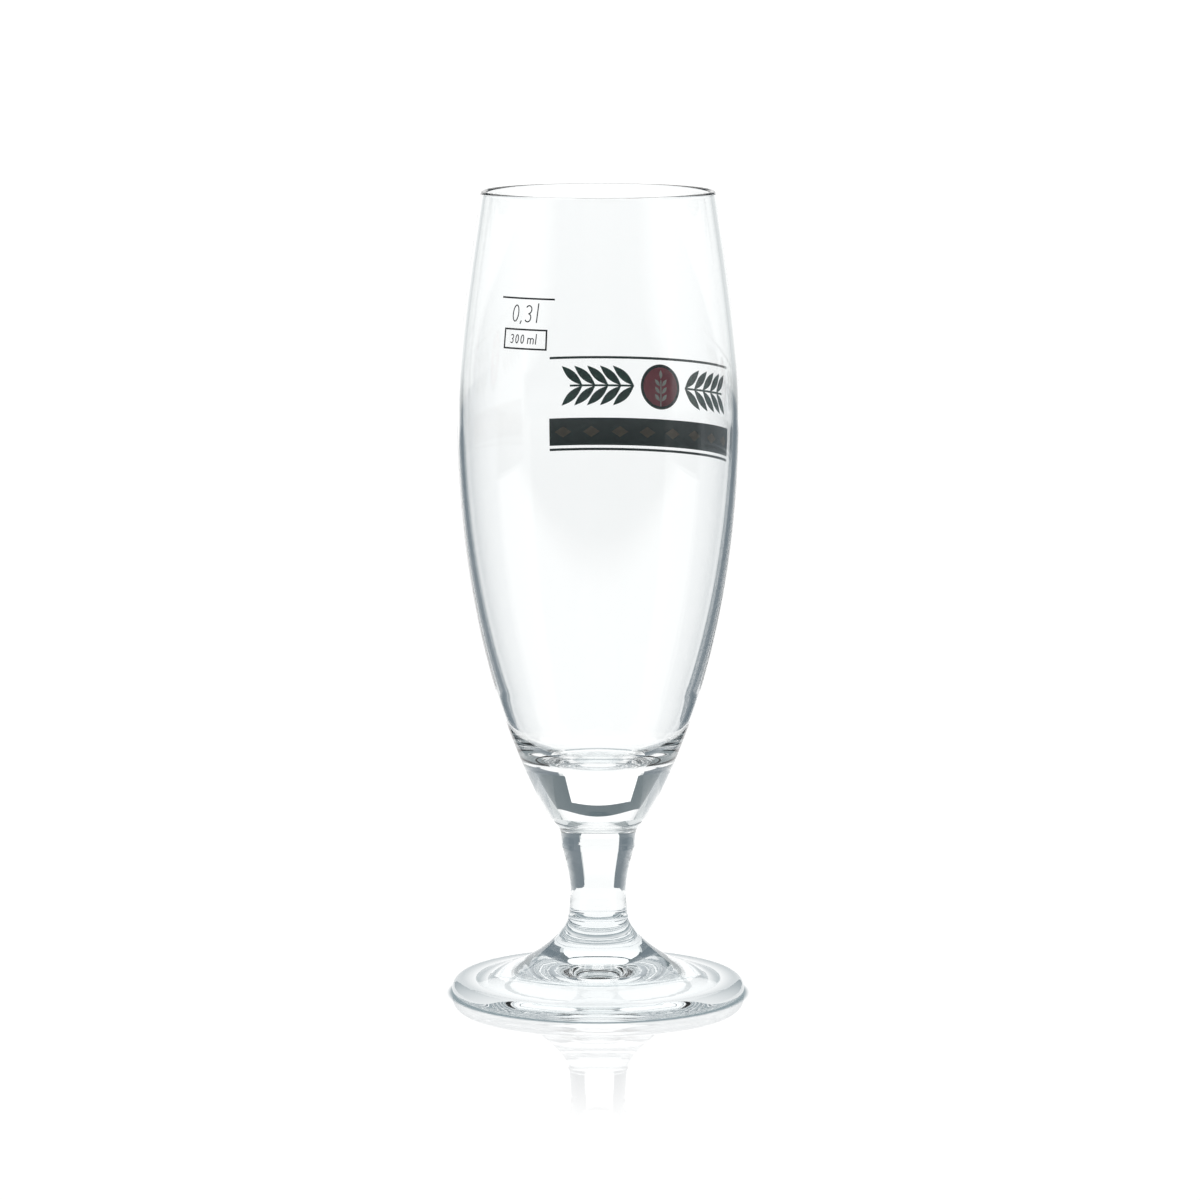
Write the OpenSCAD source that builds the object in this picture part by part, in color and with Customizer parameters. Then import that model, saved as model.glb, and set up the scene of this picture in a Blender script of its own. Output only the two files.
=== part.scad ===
// Footed pilsner glass for 0.3 l of beer: a blown bowl, a drawn stem and a pressed foot
// fused end to end, with fired enamel prints on the outside of the bowl.
// Millimetres. The origin is the middle of the standing plane, +Z up.
// The front of the glass faces -Y. Angles round the glass are counted from the front,
// and are positive towards +X.

/* [Bowl outside] */
// Height of the whole glass, from the standing plane to the top of the lip
glass_h = 196; // [188:1:206]
// Diameter at the mouth, over the lip
mouth_d = 56.5; // [53:0.5:60]
// Lean of the wall at the mouth, inwards from upright, in degrees
mouth_lean = 8.3; // [6:0.1:10]
// Length of the stretch below the mouth that keeps the wall's lean
mouth_pull = 12; // [8:0.5:16]
// Diameter of the belly, the widest ring of the bowl
belly_d = 68.2; // [65:0.2:72]
// Height of the belly
belly_h = 144; // [138:1:149]
// Upright stretch of the outline above the belly
belly_rise = 14; // [8:0.5:20]
// Upright stretch of the outline below the belly
belly_drop = 30; // [24:0.5:36]
// Diameter of the bowl where it is fused to the stem
root_d = 24.8; // [23:0.2:27]
// Height of the joint between the bowl and the stem
root_h = 44.4; // [42:0.2:47]
// Lean of the wall at that joint, outwards from upright, in degrees
root_lean = 28.5; // [26:0.5:31]
// Length of the stretch above that joint that keeps the wall's lean
root_pull = 36; // [32:0.5:40]

/* [Bowl inside] */
// Thickness of the wall at the lip
lip_wall = 1.35; // [1:0.05:1.8]
// Thickness of the wall at the belly
belly_wall = 1.45; // [1.1:0.05:2]
// Thickness of the wall where it starts to turn in towards the floor
turn_wall = 2.2; // [1.8:0.1:3]
// Height at which the inner wall starts to turn in towards the floor
turn_h = 75; // [71:0.5:80]
// Thickness of the solid glass between the joint and the floor of the bowl
floor_t = 13; // [10:0.5:16]
// Stretch of the turn that is nearly flat, out from the button
turn_flat = 13; // [9:0.5:14]
// Stretch of the turn that follows the wall, down from its start
turn_fall = 11; // [7:0.5:13]
// Diameter of the low button in the middle of the floor
button_d = 10.4; // [8:0.2:13]
// Height of the button over the floor
button_h = 0.12; // [0.06:0.02:0.3]

/* [Stem] */
// Diameter at the neck, where the mould left a fine step
neck_d = 17.8; // [16.6:0.1:19]
// Height of the neck
neck_h = 36.3; // [34.5:0.1:38]
// Depth of the fine step at the neck
neck_step = 0.2; // [0.1:0.05:0.4]
// Sideways reach of the flare under the bowl
flare_reach = 3.2; // [2.6:0.1:3.8]
// Fall of the flare under the bowl
flare_fall = 2.6; // [2:0.1:3.2]
// Upright stretch of the outline over the neck
neck_rise = 3.8; // [3:0.1:4.4]
// Diameter of the waist, the slimmest ring of the stem
waist_d = 13.4; // [12.4:0.1:14.4]
// Height of the waist
waist_h = 25.4; // [24:0.1:27]
// Stretch below the neck that keeps its lean
neck_pull = 3.5; // [2.5:0.1:4.5]
// Lean of the outline below the neck, inwards from upright, in degrees
neck_lean = 12.5; // [10:0.5:15]
// Upright stretch of the outline over the waist
waist_rise = 3.8; // [2.8:0.1:4.8]
// Upright stretch of the outline under the waist
waist_drop = 1.8; // [1:0.1:2.4]
// Thickness of the bead of glass round the stem, just under the bowl
bead_t = 1.1; // [0.8:0.05:1.4]
// Depth of that bead below the bowl
bead_drop = 2.1; // [1.7:0.1:2.5]

/* [Foot] */
// Diameter of the foot
foot_d = 71.4; // [68:0.2:76]
// Diameter where the foot is fused to the stem
collar_d = 14.1; // [13.6:0.1:14.8]
// Height of the joint between the stem and the foot
collar_h = 19.5; // [18.5:0.1:20.5]
// Fall of the foot's outline under the stem
collar_fall = 5; // [4:0.1:6.5]
// Sideways reach of that stretch
collar_reach = 0.5; // [0.2:0.05:1]
// Thickness of the bead of glass round the top of the foot
collar_bead_t = 0.9; // [0.6:0.05:1.1]
// Height of the top face at the edge of the foot
edge_h = 3.95; // [3.5:0.05:4.6]
// Slope of the top face near the edge, in degrees
edge_slope = 2.5; // [1:0.5:4]
// Length of the gently sloping stretch of the top face
edge_pull = 14.5; // [11:0.5:17]
// Width of the round along the top of the edge
edge_round = 2.6; // [1.8:0.1:3]
// Radius of the round along the bottom of the edge
base_round = 1.2; // [0.8:0.1:1.4]
// Width of the flat ring that the glass stands on
standing_w = 5; // [4:0.1:6]
// Height of the hollow under the middle of the foot
hollow_h = 6.4; // [4.8:0.1:7.2]

/* [Capacity mark] */
// Thickness of the fired enamel
ink_t = 0.08; // [0.06:0.01:0.15]
// Height of the filling line
fill_h = 172.3; // [168:0.1:176]
// Thickness of the filling line's stroke
fill_stroke = 0.4; // [0.3:0.05:0.6]
// Angle round the glass to the middle of the capacity mark, in degrees
mark_angle = -32; // [-60:1:0]
// Angle round the glass that the filling line spans, in degrees
fill_span = 26.5; // [20:0.5:36]
// Gap between the filling line and the figures
figure_gap = 1.5; // [1:0.1:2]
// Height of the large figures
figure_h = 4.1; // [3.4:0.1:4.6]
// Thickness of the large figures' stroke
figure_stroke = 0.3; // [0.22:0.02:0.4]
// Slant of the figures, in degrees from upright
figure_slant = 5; // [0:1:10]
// Gap between the large figures and the frame
frame_gap = 1.5; // [1:0.1:2.4]
// Width of the frame
frame_w = 12; // [10:0.2:14]
// Height of the frame
frame_h = 4.9; // [4.2:0.1:5.6]
// Thickness of the frame's stroke
frame_stroke = 0.4; // [0.24:0.02:0.44]
// Height of the small figures inside the frame
small_h = 2.2; // [1.8:0.1:2.6]
// Thickness of the small figures' stroke
small_stroke = 0.26; // [0.2:0.02:0.32]

/* [Ornament] */
// Angle round the glass to the middle of the ornament, in degrees
ornament_angle = 152; // [120:1:180]
// Angle round the glass that the ornament spans, in degrees
ornament_span = 99; // [84:1:120]
// Height of the ornament's lower edge
ornament_h = 129.6; // [120:0.2:134]
// Thickness of the pinstripes
pinstripe_t = 0.6; // [0.4:0.05:0.9]
// Gap between the lower pinstripe and the broad band
pinstripe_gap = 0.7; // [0.4:0.05:1.2]
// Height of the broad band
band_h = 6.8; // [5:0.1:8]
// Gap between the broad band and the garland's row
row_gap = 1.3; // [0.8:0.1:2]
// Height of the garland's row
row_h = 13.4; // [12.4:0.1:16]
// Length of a lozenge in the band
lozenge_w = 4.4; // [3:0.1:5.4]
// Height of a lozenge in the band
lozenge_h = 2.8; // [2:0.1:3.8]
// Number of lozenges in the band
lozenge_count = 8; // [6:1:10]
// Diameter of the medallion, over its outline
medallion_d = 11.2; // [10:0.1:12]
// Width of the medallion's dark outline
medallion_line = 0.75; // [0.5:0.05:1]
// Length of a leaf of the garland
leaf_l = 7.4; // [6:0.1:8]
// Width of a leaf of the garland
leaf_w = 2.1; // [1.4:0.1:2.6]
// Angle between a leaf and the garland's twig, in degrees
leaf_angle = 42; // [34:1:48]
// Number of pairs of leaves on each side of the medallion
leaf_pairs = 5; // [3:1:6]
// Thickness of the garland's twig
twig_t = 0.5; // [0.3:0.05:0.8]
// Length of a grain of the ear on the medallion
grain_l = 2.2; // [1.8:0.1:2.4]
// Width of a grain of the ear on the medallion
grain_w = 0.9; // [0.7:0.05:1]
// Thickness of the ear's stalk
stalk_t = 0.3; // [0.2:0.02:0.4]
// Number of pairs of grains on the ear
grain_pairs = 3; // [2:1:3]

/* [Hidden] */
$fn = 96;

// Straight pieces that stand for one curve of an outline, and for the round of an edge
curve_steps = 20;
round_steps = 6;
// Points round an oval figure, and along a curved stroke or a leaf
oval_steps = 24;
stroke_steps = 8;
leaf_steps = 8;

// Angle above level at which the strokes of a three begin and end, in degrees
three_turn = 150;

// Radii of the glass, from its diameters
mouth_r = mouth_d / 2;
belly_r = belly_d / 2;
root_r = root_d / 2;
neck_r = neck_d / 2;
waist_r = waist_d / 2;
collar_r = collar_d / 2;
foot_r = foot_d / 2;
button_r = button_d / 2;

// Height of the floor of the bowl, and of the start of the lip's round
floor_h = root_h + floor_t;
lip_round = lip_wall / 2;
lip_h = glass_h - lip_round;

// Reach of the cutters and of the drawn shapes past the widest part of the glass
over = belly_r / 4;
print_reach = belly_r + over;

// A point on the curve that leaves a towards b and reaches d from c
function curve_at(a, b, c, d, t) =
    let (s = 1 - t)
    s * s * s * a + 3 * s * s * t * b + 3 * s * t * t * c + t * t * t * d;

// The whole of that curve, from a to d
function curve(a, b, c, d) =
    [for (i = [0:curve_steps]) curve_at(a, b, c, d, i / curve_steps)];

// A list without its first member
function tail(points) = [for (i = [1:len(points) - 1]) points[i]];

// A list in the opposite order
function reversed(points) = [for (i = [len(points) - 1:-1:0]) points[i]];

// A point at a length along a lean from upright, outwards and up
function leaning(from, length, lean) = from + length * [sin(lean), cos(lean)];

// Outside of the bowl, from the joint with the stem up to the belly and on to the lip
root_point = [root_r, root_h];
belly_point = [belly_r, belly_h];
lip_point = [mouth_r, lip_h];
lower_outside = curve(root_point, leaning(root_point, root_pull, root_lean),
    belly_point - [0, belly_drop], belly_point);
upper_outside = curve(belly_point, belly_point + [0, belly_rise],
    leaning(lip_point, -mouth_pull, -mouth_lean), lip_point);
outside = concat(lower_outside, tail(upper_outside));

// Radius of the bowl's outside at a height
outside_table = [for (p = outside) [p.y, p.x]];
function outside_r(h) = lookup(h, outside_table);

// Thickness of the wall at a height: thinnest near the belly and the lip, fuller below
function wall_at(h) =
    h < belly_h
    ? belly_wall + (turn_wall - belly_wall) * pow((belly_h - h) / (belly_h - turn_h), 2)
    : belly_wall + (lip_wall - belly_wall) * pow((h - belly_h) / (lip_h - belly_h), 2);

// Radius of the bowl's inside at a height over the turn
function inside_r(h) = outside_r(h) - wall_at(h);

// Turn from the button across the floor and up into the wall
turn_lean = (inside_r(turn_h + turn_fall) - inside_r(turn_h)) / turn_fall;
turn_point = [inside_r(turn_h), turn_h];
floor_turn = curve([button_r, floor_h], [button_r + turn_flat, floor_h],
    turn_point - turn_fall * [turn_lean, 1], turn_point);

// Top of the button, from the middle to its edge
button_top = [for (i = [0:round_steps - 1])
    let (share = i / round_steps)
    [button_r * share, floor_h + button_h * (1 + cos(180 * share)) / 2]];

// Inside of the bowl, from the middle of the floor up to the lip
upper_inside = [for (p = outside) if (p.y > turn_h) [p.x - wall_at(p.y), p.y]];
inside = concat(button_top, floor_turn, upper_inside);

// Round of the lip, from the outside over to the inside
lip_top = [for (i = [1:round_steps - 1])
    let (turn = 180 * i / round_steps)
    [mouth_r - lip_round + lip_round * cos(turn), lip_h + lip_round * sin(turn)]];

module bowl() {
    color([0.86, 0.91, 0.92, 0.4])
        rotate_extrude()
            polygon(concat([[0, root_h]], outside, lip_top, reversed(inside)));
}

// Outline of the stem: the flare under the bowl, the neck, the waist and the lower end
step_r = neck_r - neck_step;
flare = curve(root_point, root_point - [flare_reach, flare_fall],
    [neck_r, neck_h + neck_rise], [neck_r, neck_h]);
shank = curve([step_r, neck_h], leaning([step_r, neck_h], -neck_pull, neck_lean),
    [waist_r, waist_h + waist_rise], [waist_r, waist_h]);
ankle = curve([waist_r, waist_h], [waist_r, waist_h - waist_drop],
    [collar_r, collar_h + waist_drop], [collar_r, collar_h]);

// Radius of the flare at the bead's height
flare_table = [for (p = reversed(flare)) [p.y, p.x]];
bead_h = root_h - bead_drop;
bead_r = lookup(bead_h, flare_table);

// A bead of round section, half sunk in the glass that carries it
module bead(radius, height, thickness) {
    translate([0, 0, height])
        rotate_extrude()
            translate([radius - thickness / 4, 0])
                circle(d = thickness, $fn = 32);
}

module stem() {
    color([0.84, 0.9, 0.91, 0.4]) {
        rotate_extrude()
            polygon(concat([[0, root_h]], flare, shank, tail(ankle), [[0, collar_h]]));
        bead(bead_r, bead_h, bead_t);
    }
}

// Outline of the foot: from the joint out over the top, round the edge and back under it
top_end = [foot_r - edge_round, edge_h];
foot_top = curve([collar_r, collar_h], [collar_r + collar_reach, collar_h - collar_fall],
    top_end + edge_pull * [-cos(edge_slope), sin(edge_slope)], top_end);
edge_drop = edge_h - base_round;
edge_top = [for (i = [1:round_steps])
    let (turn = 90 * i / round_steps)
    top_end + [edge_round * sin(turn), edge_drop * (cos(turn) - 1)]];
edge_base = [for (i = [1:round_steps])
    let (turn = 90 * i / round_steps)
    [foot_r - base_round + base_round * cos(turn), base_round - base_round * sin(turn)]];
ring_in_r = foot_r - base_round - standing_w;
hollow = [for (i = [0:curve_steps])
    let (share = 1 - i / curve_steps)
    [ring_in_r * share, hollow_h * (1 - share * share)]];

module foot() {
    color([0.83, 0.9, 0.9, 0.4]) {
        rotate_extrude()
            polygon(concat([[0, collar_h]], foot_top, edge_top, edge_base, hollow));
        bead(collar_r, collar_h - collar_bead_t / 2, collar_bead_t);
    }
}

// Section of a skin of enamel on the bowl between two heights
function skin_section(low, high) =
    let (face = concat([[outside_r(low), low]],
        [for (p = outside) if (p.y > low && p.y < high) p],
        [[outside_r(high), high]]))
    concat(face, [for (p = reversed(face)) p + [ink_t, 0]]);

// A stretch of enamel between two heights, centred on an angle round the glass
module skin_arc(low, high, middle, span) {
    rotate([0, 0, middle - span / 2 - 90])
        rotate_extrude(angle = span)
            polygon(skin_section(low, high));
}

// Enamel wherever a child's prism meets the outside of the bowl between two heights
module skin_where(low, high) {
    intersection() {
        rotate_extrude()
            polygon(skin_section(low, high));
        union() children();
    }
}

// A flat drawing made a prism that stands out from the axis at an angle and a height
module facing(angle, height) {
    rotate([0, 0, angle])
        translate([0, 0, height])
            rotate([90, 0, 0])
                linear_extrude(print_reach)
                    children();
}

// Capacity mark: heights, one under the other
figure_base = fill_h - figure_gap - figure_h;
frame_top = figure_base - frame_gap;
frame_base = frame_top - frame_h;
small_base = frame_base + (frame_h - small_h) / 2;

module fill_line() {
    color([0.16, 0.17, 0.19])
        skin_arc(fill_h - fill_stroke / 2, fill_h + fill_stroke / 2, mark_angle, fill_span);
}

// A point of a figure, slanted
function slanted(p) = [p.x + p.y * tan(figure_slant), p.y];

// Points along an arc of a figure, from one angle to another
function arc(middle, rx, ry, from, to) =
    [for (i = [0:stroke_steps])
        let (turn = from + (to - from) * i / stroke_steps)
        middle + [rx * cos(turn), ry * sin(turn)]];

// Sideways step from a path's point to the edge of its stroke
function edge_step(path, i, width) =
    let (before = path[max(i - 1, 0)],
        after = path[min(i + 1, len(path) - 1)],
        along = (after - before) / norm(after - before))
    width / 2 * [-along.y, along.x];

// A stroke of even width along a path
module stroke(path, width) {
    line = [for (p = path) slanted(p)];
    left = [for (i = [0:len(line) - 1]) line[i] + edge_step(line, i, width)];
    right = [for (i = [0:len(line) - 1]) line[i] - edge_step(line, i, width)];
    polygon(concat(left, reversed(right)));
}

// An upright oval ring, as in a nought
module oval_ring(size, width) {
    rim = [for (i = [0:oval_steps - 1])
        let (turn = 360 * i / oval_steps)
        [size.x / 2 * cos(turn), size.y / 2 * (1 + sin(turn))]];
    core = [for (i = [0:oval_steps - 1])
        let (turn = 360 * i / oval_steps)
        [(size.x / 2 - width) * cos(turn), size.y / 2 + (size.y / 2 - width) * sin(turn)]];
    difference() {
        polygon([for (p = rim) slanted(p)]);
        polygon([for (p = core) slanted(p)]);
    }
}

// Shares of a figure's height: widths, bends and places along the line
nought_share = 0.46;
three_share = 0.23;
tall_share = 1.12;
comma_share = 0.2;
arch_share = 0.17;

module nought(height, width) {
    oval_ring([height * nought_share, height], width);
}

module three(height, width) {
    half = width / 2;
    upper_ry = (height / 2 - half) / 2;
    reach = height * three_share - half;
    upper = arc([0, height / 2 + upper_ry], reach, upper_ry, three_turn, -90);
    lower = arc([0, height / 2 - upper_ry], reach, upper_ry, 90, -three_turn);
    stroke(upper, width);
    stroke(lower, width);
}

module comma(height, width) {
    drop = height * comma_share;
    stroke([[0, drop / 2], [-drop / 3, -drop / 2]], width);
}

module tall_l(height, width) {
    stroke([[0, height * tall_share], [0, 0]], width);
}

module letter_m(height, width) {
    x_height = height * 2 / 3;
    reach = height * arch_share;
    stroke([[-2 * reach, x_height], [-2 * reach, 0]], width);
    for (side = [-1, 1])
        stroke(concat(arc([side * reach, x_height - reach], reach, reach - width / 2, 180, 0),
            [[side * reach + reach, 0]]), width);
}

// Places of the figures along their line, as shares of their height
large_shares = [-0.75, -0.3, 0.12, 0.72];
small_shares = [-1.65, -0.98, -0.31, 0.72, 1.35];

// A figure's place along its line
module along(x) {
    translate([x, 0])
        children();
}

module capacity_figures() {
    color([0.2, 0.21, 0.23])
        skin_where(frame_base, fill_h - figure_gap / 4) {
            facing(mark_angle, figure_base) {
                along(large_shares[0] * figure_h) nought(figure_h, figure_stroke);
                along(large_shares[1] * figure_h) comma(figure_h, figure_stroke);
                along(large_shares[2] * figure_h) three(figure_h, figure_stroke);
                along(large_shares[3] * figure_h) tall_l(figure_h, figure_stroke);
            }
            facing(mark_angle, small_base) {
                along(small_shares[0] * small_h) three(small_h, small_stroke);
                along(small_shares[1] * small_h) nought(small_h, small_stroke);
                along(small_shares[2] * small_h) nought(small_h, small_stroke);
                along(small_shares[3] * small_h) letter_m(small_h, small_stroke);
                along(small_shares[4] * small_h) tall_l(small_h, small_stroke);
            }
        }
}

module capacity_frame() {
    color([0.2, 0.21, 0.23])
        skin_where(frame_base, frame_top)
            facing(mark_angle, frame_base)
                difference() {
                    translate([-frame_w / 2, -over])
                        square([frame_w, frame_h + 2 * over]);
                    translate([-frame_w / 2 + frame_stroke, frame_stroke])
                        square([frame_w - 2 * frame_stroke, frame_h - 2 * frame_stroke]);
                }
}

// Ornament: heights, from its lower edge up
band_base = ornament_h + pinstripe_t + pinstripe_gap;
band_top = band_base + band_h;
row_base = band_top + row_gap;
row_top = row_base + row_h;
row_middle = (row_base + row_top) / 2;

// Angle round the glass that a length spans at a height, and the length of an angle's span
function span_of(length, height) = length / outside_r(height) * 180 / PI;
function length_of(span, height) = span * PI / 180 * outside_r(height);

module pinstripes() {
    color([0.13, 0.21, 0.19]) {
        skin_arc(ornament_h, ornament_h + pinstripe_t, ornament_angle, ornament_span);
        skin_arc(row_top, row_top + pinstripe_t, ornament_angle, ornament_span);
    }
}

// Prisms of the lozenges, evenly spaced along the band
module lozenge_prisms() {
    pitch = ornament_span / lozenge_count;
    half_w = lozenge_w / 2;
    half_h = lozenge_h / 2;
    for (i = [0:lozenge_count - 1])
        facing(ornament_angle + (i - (lozenge_count - 1) / 2) * pitch, (band_base + band_top) / 2)
            polygon([[-half_w, 0], [0, -half_h], [half_w, 0], [0, half_h]]);
}

module band() {
    color([0.14, 0.2, 0.18])
        difference() {
            skin_arc(band_base, band_top, ornament_angle, ornament_span);
            lozenge_prisms();
        }
}

module band_lozenges() {
    color([0.42, 0.35, 0.25])
        skin_where(band_base, band_top)
            lozenge_prisms();
}

// A pointed oval, from its root at the origin out along +X
module pointed_oval(length, width) {
    side = [for (i = [0:leaf_steps])
        let (share = i / leaf_steps)
        [length * share, width / 2 * sin(180 * share)]];
    inner_side = [for (i = [1:leaf_steps - 1]) side[i]];
    polygon(concat(side, [for (p = reversed(inner_side)) [p.x, -p.y]]));
}

// Place of the first leaves, as a share of the medallion's diameter out from its middle,
// and the twig's overlap from one pair to the next, as a share of its length
garland_start_share = 0.66;
twig_overlap_share = 0.1;

// Angles from the medallion's middle to the garland's first and last pair, and their pitch
garland_start = span_of(medallion_d * garland_start_share, row_middle);
garland_end = ornament_span / 2 - span_of(leaf_l * cos(leaf_angle), row_middle);
leaf_pitch = (garland_end - garland_start) / leaf_pairs;

// One pair of leaves with its length of twig, pointing away from the medallion
module leaf_pair(side) {
    twig_l = length_of(leaf_pitch, row_middle);
    overlap = twig_l * twig_overlap_share;
    mirror([side < 0 ? 1 : 0, 0]) {
        translate([-overlap, -twig_t / 2]) square([twig_l + 2 * overlap, twig_t]);
        for (turn = [-leaf_angle, leaf_angle])
            rotate(turn) pointed_oval(leaf_l, leaf_w);
    }
}

module garland() {
    color([0.2, 0.35, 0.29])
        skin_where(row_base, row_top)
            for (side = [-1, 1])
                for (i = [0:leaf_pairs - 1])
                    facing(ornament_angle + side * (garland_start + i * leaf_pitch), row_middle)
                        leaf_pair(side);
}

// Spacing of the grains up the stalk, as a share of a grain's length, their distance from
// it, as a share of its thickness, and their angle from it
grain_step_share = 0.84;
grain_clear_share = 1.1;
grain_angle = 38;

// Drawing of the ear on the medallion: pairs of grains up a stalk, and one at the tip,
// each clear of the others and of the stalk
module ear_drawing() {
    grain_step = grain_l * grain_step_share;
    clear = stalk_t * grain_clear_share;
    ear_l = grain_pairs * grain_step + grain_l;
    for (i = [0:grain_pairs - 1])
        for (side = [-1, 1])
            translate([side * clear, i * grain_step - ear_l / 2 + clear])
                rotate(90 - side * grain_angle)
                    pointed_oval(grain_l, grain_w);
    translate([0, ear_l / 2 - grain_l + clear])
        rotate(90)
            pointed_oval(grain_l, grain_w);
    translate([-stalk_t / 2, -ear_l / 2 - grain_step / 2])
        square([stalk_t, (grain_pairs + 0.5) * grain_step]);
}

module medallion_outline() {
    color([0.15, 0.19, 0.18])
        skin_where(row_base, row_top)
            facing(ornament_angle, row_middle)
                difference() {
                    circle(d = medallion_d);
                    circle(d = medallion_d - 2 * medallion_line);
                }
}

module medallion_field() {
    color([0.6, 0.33, 0.37])
        skin_where(row_base, row_top)
            facing(ornament_angle, row_middle)
                difference() {
                    circle(d = medallion_d - 2 * medallion_line);
                    ear_drawing();
                }
}

module medallion_ear() {
    color([0.88, 0.88, 0.84])
        skin_where(row_base, row_top)
            facing(ornament_angle, row_middle)
                ear_drawing();
}

bowl();
stem();
foot();
fill_line();
capacity_figures();
capacity_frame();
pinstripes();
band();
band_lozenges();
garland();
medallion_outline();
medallion_field();
medallion_ear();
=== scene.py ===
import math
from contextlib import contextmanager

import bmesh
import bpy
from bpy.props import FloatProperty, FloatVectorProperty, IntProperty, PointerProperty
from bpy.types import Operator, Panel, PropertyGroup
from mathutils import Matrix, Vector


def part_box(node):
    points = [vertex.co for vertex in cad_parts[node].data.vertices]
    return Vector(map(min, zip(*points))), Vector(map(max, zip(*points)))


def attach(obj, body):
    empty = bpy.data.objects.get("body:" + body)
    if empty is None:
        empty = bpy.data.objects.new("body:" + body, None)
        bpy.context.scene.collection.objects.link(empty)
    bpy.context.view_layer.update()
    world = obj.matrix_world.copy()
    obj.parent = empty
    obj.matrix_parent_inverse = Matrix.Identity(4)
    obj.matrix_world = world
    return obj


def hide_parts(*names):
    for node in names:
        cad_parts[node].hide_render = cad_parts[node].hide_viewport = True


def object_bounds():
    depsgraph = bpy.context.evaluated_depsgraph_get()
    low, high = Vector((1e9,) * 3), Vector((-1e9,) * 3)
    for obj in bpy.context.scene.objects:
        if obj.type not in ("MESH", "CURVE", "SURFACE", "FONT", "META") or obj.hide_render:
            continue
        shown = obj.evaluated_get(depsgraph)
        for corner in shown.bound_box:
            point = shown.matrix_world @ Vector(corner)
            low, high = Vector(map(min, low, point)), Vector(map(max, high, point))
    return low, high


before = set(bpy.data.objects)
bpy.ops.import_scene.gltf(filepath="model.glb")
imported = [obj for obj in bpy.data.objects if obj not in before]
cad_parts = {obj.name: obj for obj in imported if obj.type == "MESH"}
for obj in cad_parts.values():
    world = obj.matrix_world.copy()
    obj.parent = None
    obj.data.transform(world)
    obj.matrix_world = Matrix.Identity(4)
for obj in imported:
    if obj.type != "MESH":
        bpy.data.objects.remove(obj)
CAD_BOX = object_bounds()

bl_info = {
    "name": "Pilsner glass",
    "version": (1, 0, 0),
    "blender": (4, 5, 0),
    "location": "3D View > Sidebar > Glass",
    "description": "A footed pilsner glass with fired enamel prints, and the studio it stands in",
    "category": "Add Mesh",
}

MM = 0.001
PHOTO_WIDTH = 1200
SENSOR = 36


def frame_size(node, axis):
    """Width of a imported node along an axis, 0 for X, 1 for Y and 2 for Z."""
    low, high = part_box(node)
    return high[axis] - low[axis]


def length(name, description, default):
    """A size in metres that the sidebar shows as a length."""
    return FloatProperty(
        name=name, description=description, default=default, unit="LENGTH", precision=5,
    )


def factor(name, description, default):
    """A plain factor, from nought up."""
    return FloatProperty(name=name, description=description, default=default, min=0)


def angle(name, description, degrees):
    """An angle, given here in degrees."""
    return FloatProperty(
        name=name, description=description, default=math.radians(degrees), subtype="ANGLE",
    )


def colour(name, description, value):
    """A colour, given as an sRGB hex value and kept linear."""
    return FloatVectorProperty(
        name=name, description=description, default=linear(value), size=3, subtype="COLOR",
        min=0, max=1,
    )


def linear(value):
    """Linear red, green and blue of an sRGB hex value such as #1A2B3C, by the numbers of
    the sRGB standard."""
    parts = [int(value[i:i + 2], 16) / 255 for i in (1, 3, 5)]
    return tuple(p / 12.92 if p <= 0.04045 else ((p + 0.055) / 1.055) ** 2.4 for p in parts)


class BowlSizes(PropertyGroup):
    glass_h: length("Height", "Height of the whole glass", CAD_BOX[1].z)
    belly_d: length("Belly", "Diameter of the widest ring", frame_size("bowl", 0))
    root_d: length("Root", "Diameter where the bowl is fused to the stem", frame_size("stem", 0))
    root_h: length("Root height", "Height of that joint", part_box("bowl")[0].z)
    mouth_d: length("Mouth", "Diameter over the lip", 56.5 * MM)
    mouth_lean: angle("Mouth lean", "Lean of the wall at the mouth", 8.3)
    mouth_pull: length("Mouth pull", "Stretch below the mouth that keeps its lean", 12 * MM)
    belly_h: length("Belly height", "Height of the widest ring", 144 * MM)
    belly_rise: length("Belly rise", "Upright stretch above the belly", 14 * MM)
    belly_drop: length("Belly drop", "Upright stretch below the belly", 30 * MM)
    root_lean: angle("Root lean", "Lean of the wall at the root", 28.5)
    root_pull: length("Root pull", "Stretch above the root that keeps its lean", 36 * MM)
    lip_wall: length("Lip wall", "Thickness of the wall at the lip", 1.35 * MM)
    belly_wall: length("Belly wall", "Thickness of the wall at the belly", 1.45 * MM)
    turn_wall: length("Turn wall", "Thickness of the wall over the floor's turn", 2.2 * MM)
    turn_h: length("Turn height", "Height where the inner wall turns in", 75 * MM)
    floor_t: length("Floor", "Thickness of the solid glass under the bowl", 13 * MM)
    turn_flat: length("Turn flat", "Nearly flat stretch of the turn", 13 * MM)
    turn_fall: length("Turn fall", "Stretch of the turn that follows the wall", 11 * MM)
    button_d: length("Button", "Diameter of the low button on the floor", 10.4 * MM)
    button_h: length("Button height", "Height of that button", 0.12 * MM)
    steps: IntProperty(name="Steps", description="Faces round the glass", default=192, min=48)


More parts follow.
